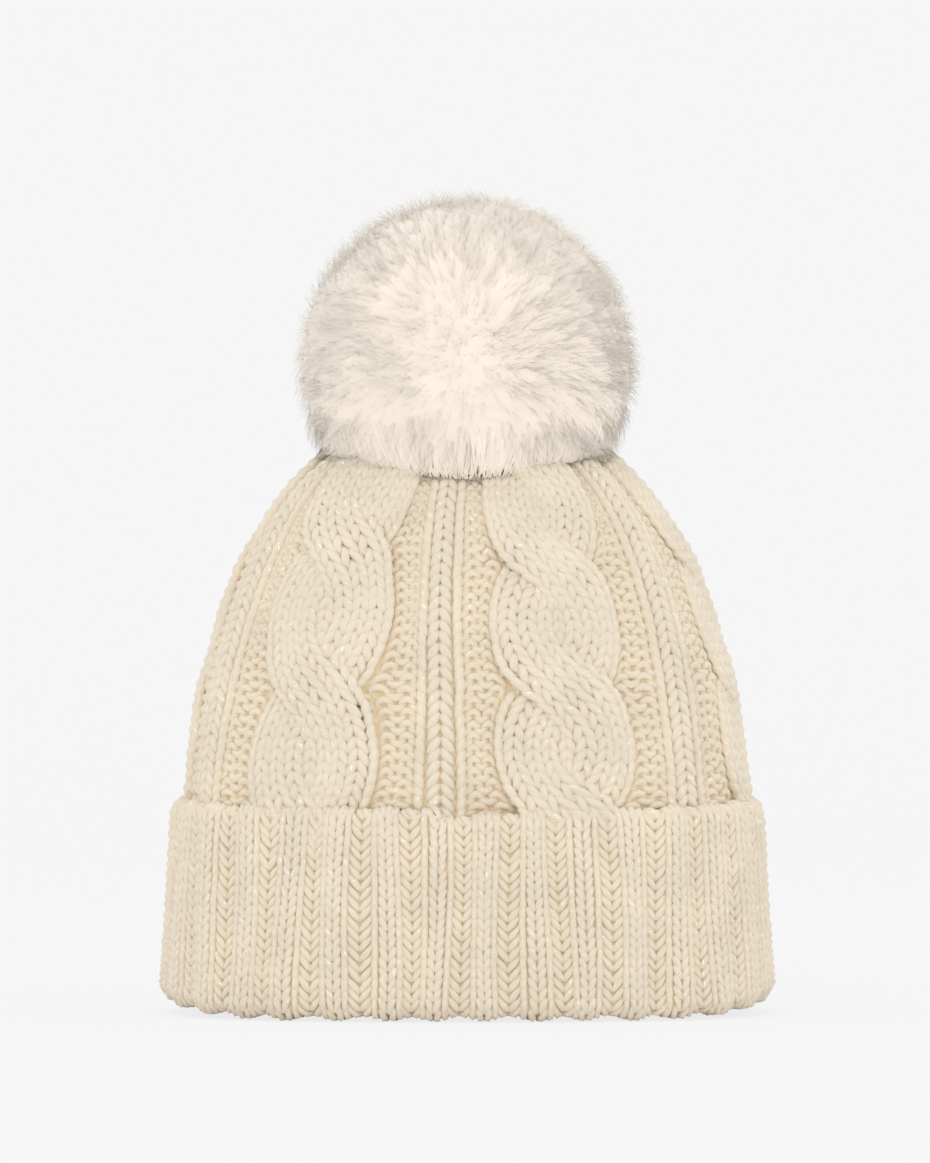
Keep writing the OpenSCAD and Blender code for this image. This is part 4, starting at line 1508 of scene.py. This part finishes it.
class BEANIE_OT_fur(Making, bpy.types.Operator):
    """Grows the pom pom's fur in bands and lays its lower edge over the crown"""

    bl_idname = "beanie.fur"
    bl_label = "Grow Fur"

    BANDS = (-0.98, -0.56, -0.42, -0.2, 0.1, 0.4, 0.7, 1.0)  # heights on the ball, -1 below and 1 on top
    DROOP = (0.3, 0.35, 0.15, 0, 0, 0, 0)  # how far each band hangs down
    STRANDS = 16000  # that the whole ball would carry from each band's density
    STRAND = 0.09 * MM  # radius of a strand
    LOCKS = 900  # round the lower edge
    THICK = 61 * MM  # radius of the thick of the pile
    HOLLOW = 24.7 * MM  # radius of the hollow that the stuffed ball sits in
    RECESS = 23 * MM  # radius of the opening under the ball
    LIP = fur_low.z  # where the pile starts, over the crown
    ROUNDNESS = 0.6  # how far the pile's roots follow the crown's own shape rather than its sweep

    def execute(self, context):
        colours = self.colours
        # The painted shade colour of the pile's furrows and of the front of the ball
        pile_shade = [0.94 * c for c in colours.fur_root]
        pile_base = underfur_material("fur_thick", pile_shade, (0.955, 0.87, 0.77))
        self.thick(pile_base)
        self.locks(pile_base)
        pile = fur_material("fur_pile", colours.fur_root, colours.fur)
        dark = fur_material("fur_guard_hair", (0.60, 0.45, 0.30), (0.78, 0.64, 0.48))
        for number, droop in enumerate(self.DROOP):
            low, high = self.BANDS[number:number + 2]
            self.grow(f"fur_band_{number + 1}", 20 + number, self.STRANDS, low, high, droop, self.STRAND,
                      pile, number == 0)
        self.grow("guard_hairs", 40, 2500, -0.60, -0.52, 0.4, 0.06 * MM, dark, False)
        return {"FINISHED"}

    def grow(self, name, seed, strands, low, high, droop, thickness, material, under):
        """Grows the strands between two heights of the ball and lays them over the crown: their roots clear
        it as the pom pom turns, their tips hug it. The strands under the ball lie below its thick."""
        obj = link(bpy.data.objects.new(name, bpy.data.meshes.new(name)))
        group = bpy.data.node_groups.get("Fur Strands") or fur_tree()
        run_tree(obj, group, {
            "Strands": strands, "Seed": seed, "Lowest": low, "Highest": high, "Droop": droop,
            "Centre": tuple(POM_MIDDLE), "Root Radius": self.THICK - 2 * MM, "Tip Radius": FUR_RADIUS,
            "Material": material, "Thickness": thickness, "Ragged": 3.0 * MM, "Bulge": 1.2 * MM,
            "Lock Pull": 0.3})
        points = mesh_points(obj.data)
        along = np.empty(len(points), np.float32)
        obj.data.attributes["along"].data.foreach_get("value", along)
        clearance = (0.8 if under else 2.6 - 1.2 * along) * MM
        points = drape(points, self.ROUNDNESS + (1 - self.ROUNDNESS) * along, clearance)
        put_points(obj.data, points)
        if not under:
            # Light falls on the strands as on the pile as a whole
            below = POM_MIDDLE - (0, 0, 30 * MM)
            obj.data.normals_split_custom_set_from_vertices(unit(points - below))
        self.attach(obj)

    def locks(self, material):
        """Tapered locks round the lower edge of the pile, which hang over the crown."""
        rng = np.random.default_rng(71)
        number = self.LOCKS
        along = np.linspace(0, 1, 9)
        paths = []
        for lock in range(number):
            turn = (lock + rng.uniform(-0.4, 0.4)) * TURN / number + 0.06 * rng.normal() * along ** 2
            start, end = np.radians(rng.uniform((16, 35), (32, 46)))
            tufts = math.sin(17 * turn[0]) + math.sin(29 * turn[0] + 1) + math.sin(43 * turn[0] + 2)
            end += np.radians(1 + 7 * max(-math.sin(turn[0]), 0) + 1.2 * tufts)
            fall = start + (end - start) * along
            reach = self.THICK + (-2.0 + 4.0 * along) * MM
            points = POM_MIDDLE + round_axis(np.cos(fall), turn, -np.sin(fall)) * reach[:, None]
            points = drape(points, self.ROUNDNESS + (1 - self.ROUNDNESS) * along, (2.2 - 1.4 * along) * MM)
            width = (0.12 + rng.uniform(0.5, 1.1) * (1 - along ** 2)) * MM
            paths.append((points, width, rng.uniform(0.4, 1.0), float(lock), along))
        self.attach(tubes("fur_locks", paths, material, 8, number))

    def attach(self, obj):
        """Bakes the piece's transform into its mesh."""
        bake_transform(obj)

    def thick(self, material):
        """The thick of the pile as a closed shell round the stuffed ball."""
        outer = [(self.THICK * math.sin(a), POM_MIDDLE[2] + self.THICK * math.cos(a))
                 for a in np.linspace(0, 0.86, 150) * TURN / 2]
        outer[0] = (0, outer[0][1])
        wall = [(self.RECESS, z) for z in (self.LIP, self.LIP + 4 * MM)]
        start = math.asin(self.RECESS / self.HOLLOW)
        hollow = [(self.HOLLOW * math.sin(a), POM_MIDDLE[2] - self.HOLLOW * math.cos(a))
                  for a in np.linspace(start, TURN / 2, 16)]
        hollow[-1] = (0, hollow[-1][1])
        obj = revolved("fur_thick", outer + wall + hollow, 360)
        points = mesh_points(obj.data)
        away = points - POM_MIDDLE
        outside = np.linalg.norm(away, axis=1) > self.HOLLOW + 10 * MM
        height = furrows(unit(away))
        lifted = points + unit(away) * (0.3 * MM * height)[:, None]
        draped = drape(lifted, self.ROUNDNESS, 2.0 * MM)
        points = np.where(outside[:, None], draped, points)
        reshape(obj, points, material)
        # Painted shade: the front of the ball, which the lamps light most, is painted darker than its sides,
        # and the furrows darker than their crests
        tone_and_shade = obj.data.attributes.new("tone_and_shade", "FLOAT", "POINT")
        facing = -unit(away)[:, 1]
        light = np.clip(0.75 - 0.75 * facing, 0, 1) * 0.7 + 0.3 * np.clip(0.5 + 0.5 * height, 0, 1)
        tone_and_shade.data.foreach_set("value", light.astype(np.float32))
        self.attach(obj)
        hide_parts("pom_fur")


class BEANIE_OT_stage(Making, bpy.types.Operator):
    """Sets up the floor, the backdrop, the lamps and the camera"""

    bl_idname = "beanie.stage"
    bl_label = "Set Up Stage"

    VIEW_HEIGHT = 0.435  # height of the picture at the hat
    DISTANCE = 3.2

    def execute(self, context):
        scene = context.scene
        scene.view_settings.view_transform = "Standard"
        self.backdrop(self.colours.backdrop)
        self.lamps(scene)
        self.camera(scene)
        return {"FINISHED"}

    def backdrop(self, colour):
        material, tree = new_material("paper")
        grain = tree.spread(tree.noise(tree.place(), 400.0, 2.0), 0.3, 0.7, 0.995, 1.005)
        tint = tree.mix(1.0, rgba(colour), grain, "MULTIPLY")
        paper = tree.add("ShaderNodeBsdfDiffuse", Color=tint)
        glow = tree.add("ShaderNodeEmission", Color=tint, Strength=1.0)
        rays = tree.add("ShaderNodeLightPath")
        seen = tree.math("MAXIMUM", rays.outputs["Is Camera Ray"], rays.outputs["Is Glossy Ray"])
        seen = tree.math("MAXIMUM", seen, rays.outputs["Is Transmission Ray"])
        part = tree.math("MULTIPLY", seen, 0.88)
        face = tree.add("ShaderNodeMixShader", i0=part, i1=paper, i2=glow)
        behind_it = tree.math("MULTIPLY", tree.add("ShaderNodeNewGeometry").outputs["Backfacing"], seen)
        clear = tree.add("ShaderNodeBsdfTransparent")
        tree.close(tree.add("ShaderNodeMixShader", i0=behind_it, i1=face, i2=clear))
        # A floor that curves up into the wall behind
        wide, front, behind, bend, tall = 6.0, -3.0, 2.0, 0.8, 4.0
        run = [(front, 0.0), (behind, 0.0)]
        run += [(behind + bend * math.sin(a), bend - bend * math.cos(a))
                for a in np.linspace(0.1, 1, 10) * TURN / 4]
        run.append((behind + bend, tall))
        points = [(x, y, z) for y, z in run for x in (-wide, wide)]
        faces = [(2 * i, 2 * i + 1, 2 * i + 3, 2 * i + 2) for i in range(len(run) - 1)]
        mesh = bpy.data.meshes.new("paper_sweep")
        mesh.from_pydata(points, [], faces)
        mesh.shade_smooth()
        mesh.materials.append(material)
        link(bpy.data.objects.new("paper_sweep", mesh))

    def lamps(self, scene):
        world = scene.world or bpy.data.worlds.new("studio")
        scene.world = world
        world.use_nodes = True
        background = world.node_tree.nodes["Background"]
        background.inputs["Color"].default_value = (1, 1, 1, 1)
        background.inputs["Strength"].default_value = 1.06
        for name, place, size, tall, power in (("key_lamp", (-0.7, -2.2, 1.5), 1.4, 1.4, 4.0),
                                               ("low_lamp", (0.5, -2.4, 0.36), 2.6, 0.6, 3.5),
                                               ("top_lamp", (0.1, 0.2, 2.0), 1.2, 1.2, 1.0)):
            lamp = bpy.data.lights.new(name, "AREA")
            lamp.shape = "RECTANGLE"
            lamp.size, lamp.size_y, lamp.energy = size, tall, power
            obj = link(bpy.data.objects.new(name, lamp))
            obj.location = place
            aim = Vector((0, 0, 0.14)) - Vector(place)
            obj.rotation_euler = aim.to_track_quat("-Z", "Y").to_euler()

    def camera(self, scene):
        low, high = cad_box
        view = bpy.data.cameras.new("front_view")
        view.lens = view.sensor_width * self.DISTANCE / self.VIEW_HEIGHT
        camera = link(bpy.data.objects.new("front_view", view))
        camera.location = (-0.75 * MM, -self.DISTANCE, (low.z + high.z) / 2 + 7.8 * MM)
        camera.rotation_euler = (TURN / 4, 0, 0)
        scene.camera = camera


class BEANIE_PT_panel(bpy.types.Panel):
    """Lists the steps that make the beanie"""

    bl_idname = "BEANIE_PT_panel"
    bl_label = "Pom Pom Beanie"
    bl_space_type = "VIEW_3D"
    bl_region_type = "UI"
    bl_category = "Beanie"

    def draw(self, context):
        scene = context.scene
        for group in (scene.beanie_yarn, scene.beanie_colours):
            for name in type(group).__annotations__:
                self.layout.prop(group, name)
        for step in STEPS:
            self.layout.operator(step.bl_idname)


SETTINGS = (YarnSettings, ColourSettings)
STEPS = (BEANIE_OT_body, BEANIE_OT_ribbing, BEANIE_OT_edges, BEANIE_OT_crown, BEANIE_OT_pom_base,
         BEANIE_OT_fur, BEANIE_OT_stage)


def register():
    for kind in (*SETTINGS, *STEPS, BEANIE_PT_panel):
        bpy.utils.register_class(kind)
    bpy.types.Scene.beanie_yarn = bpy.props.PointerProperty(type=YarnSettings)
    bpy.types.Scene.beanie_colours = bpy.props.PointerProperty(type=ColourSettings)


def unregister():
    del bpy.types.Scene.beanie_colours
    del bpy.types.Scene.beanie_yarn
    for kind in reversed((*SETTINGS, *STEPS, BEANIE_PT_panel)):
        bpy.utils.unregister_class(kind)


def main():
    register()
    for step in STEPS:
        group, name = step.bl_idname.split(".")
        getattr(getattr(bpy.ops, group), name)()


if __name__ == "__main__":
    main()
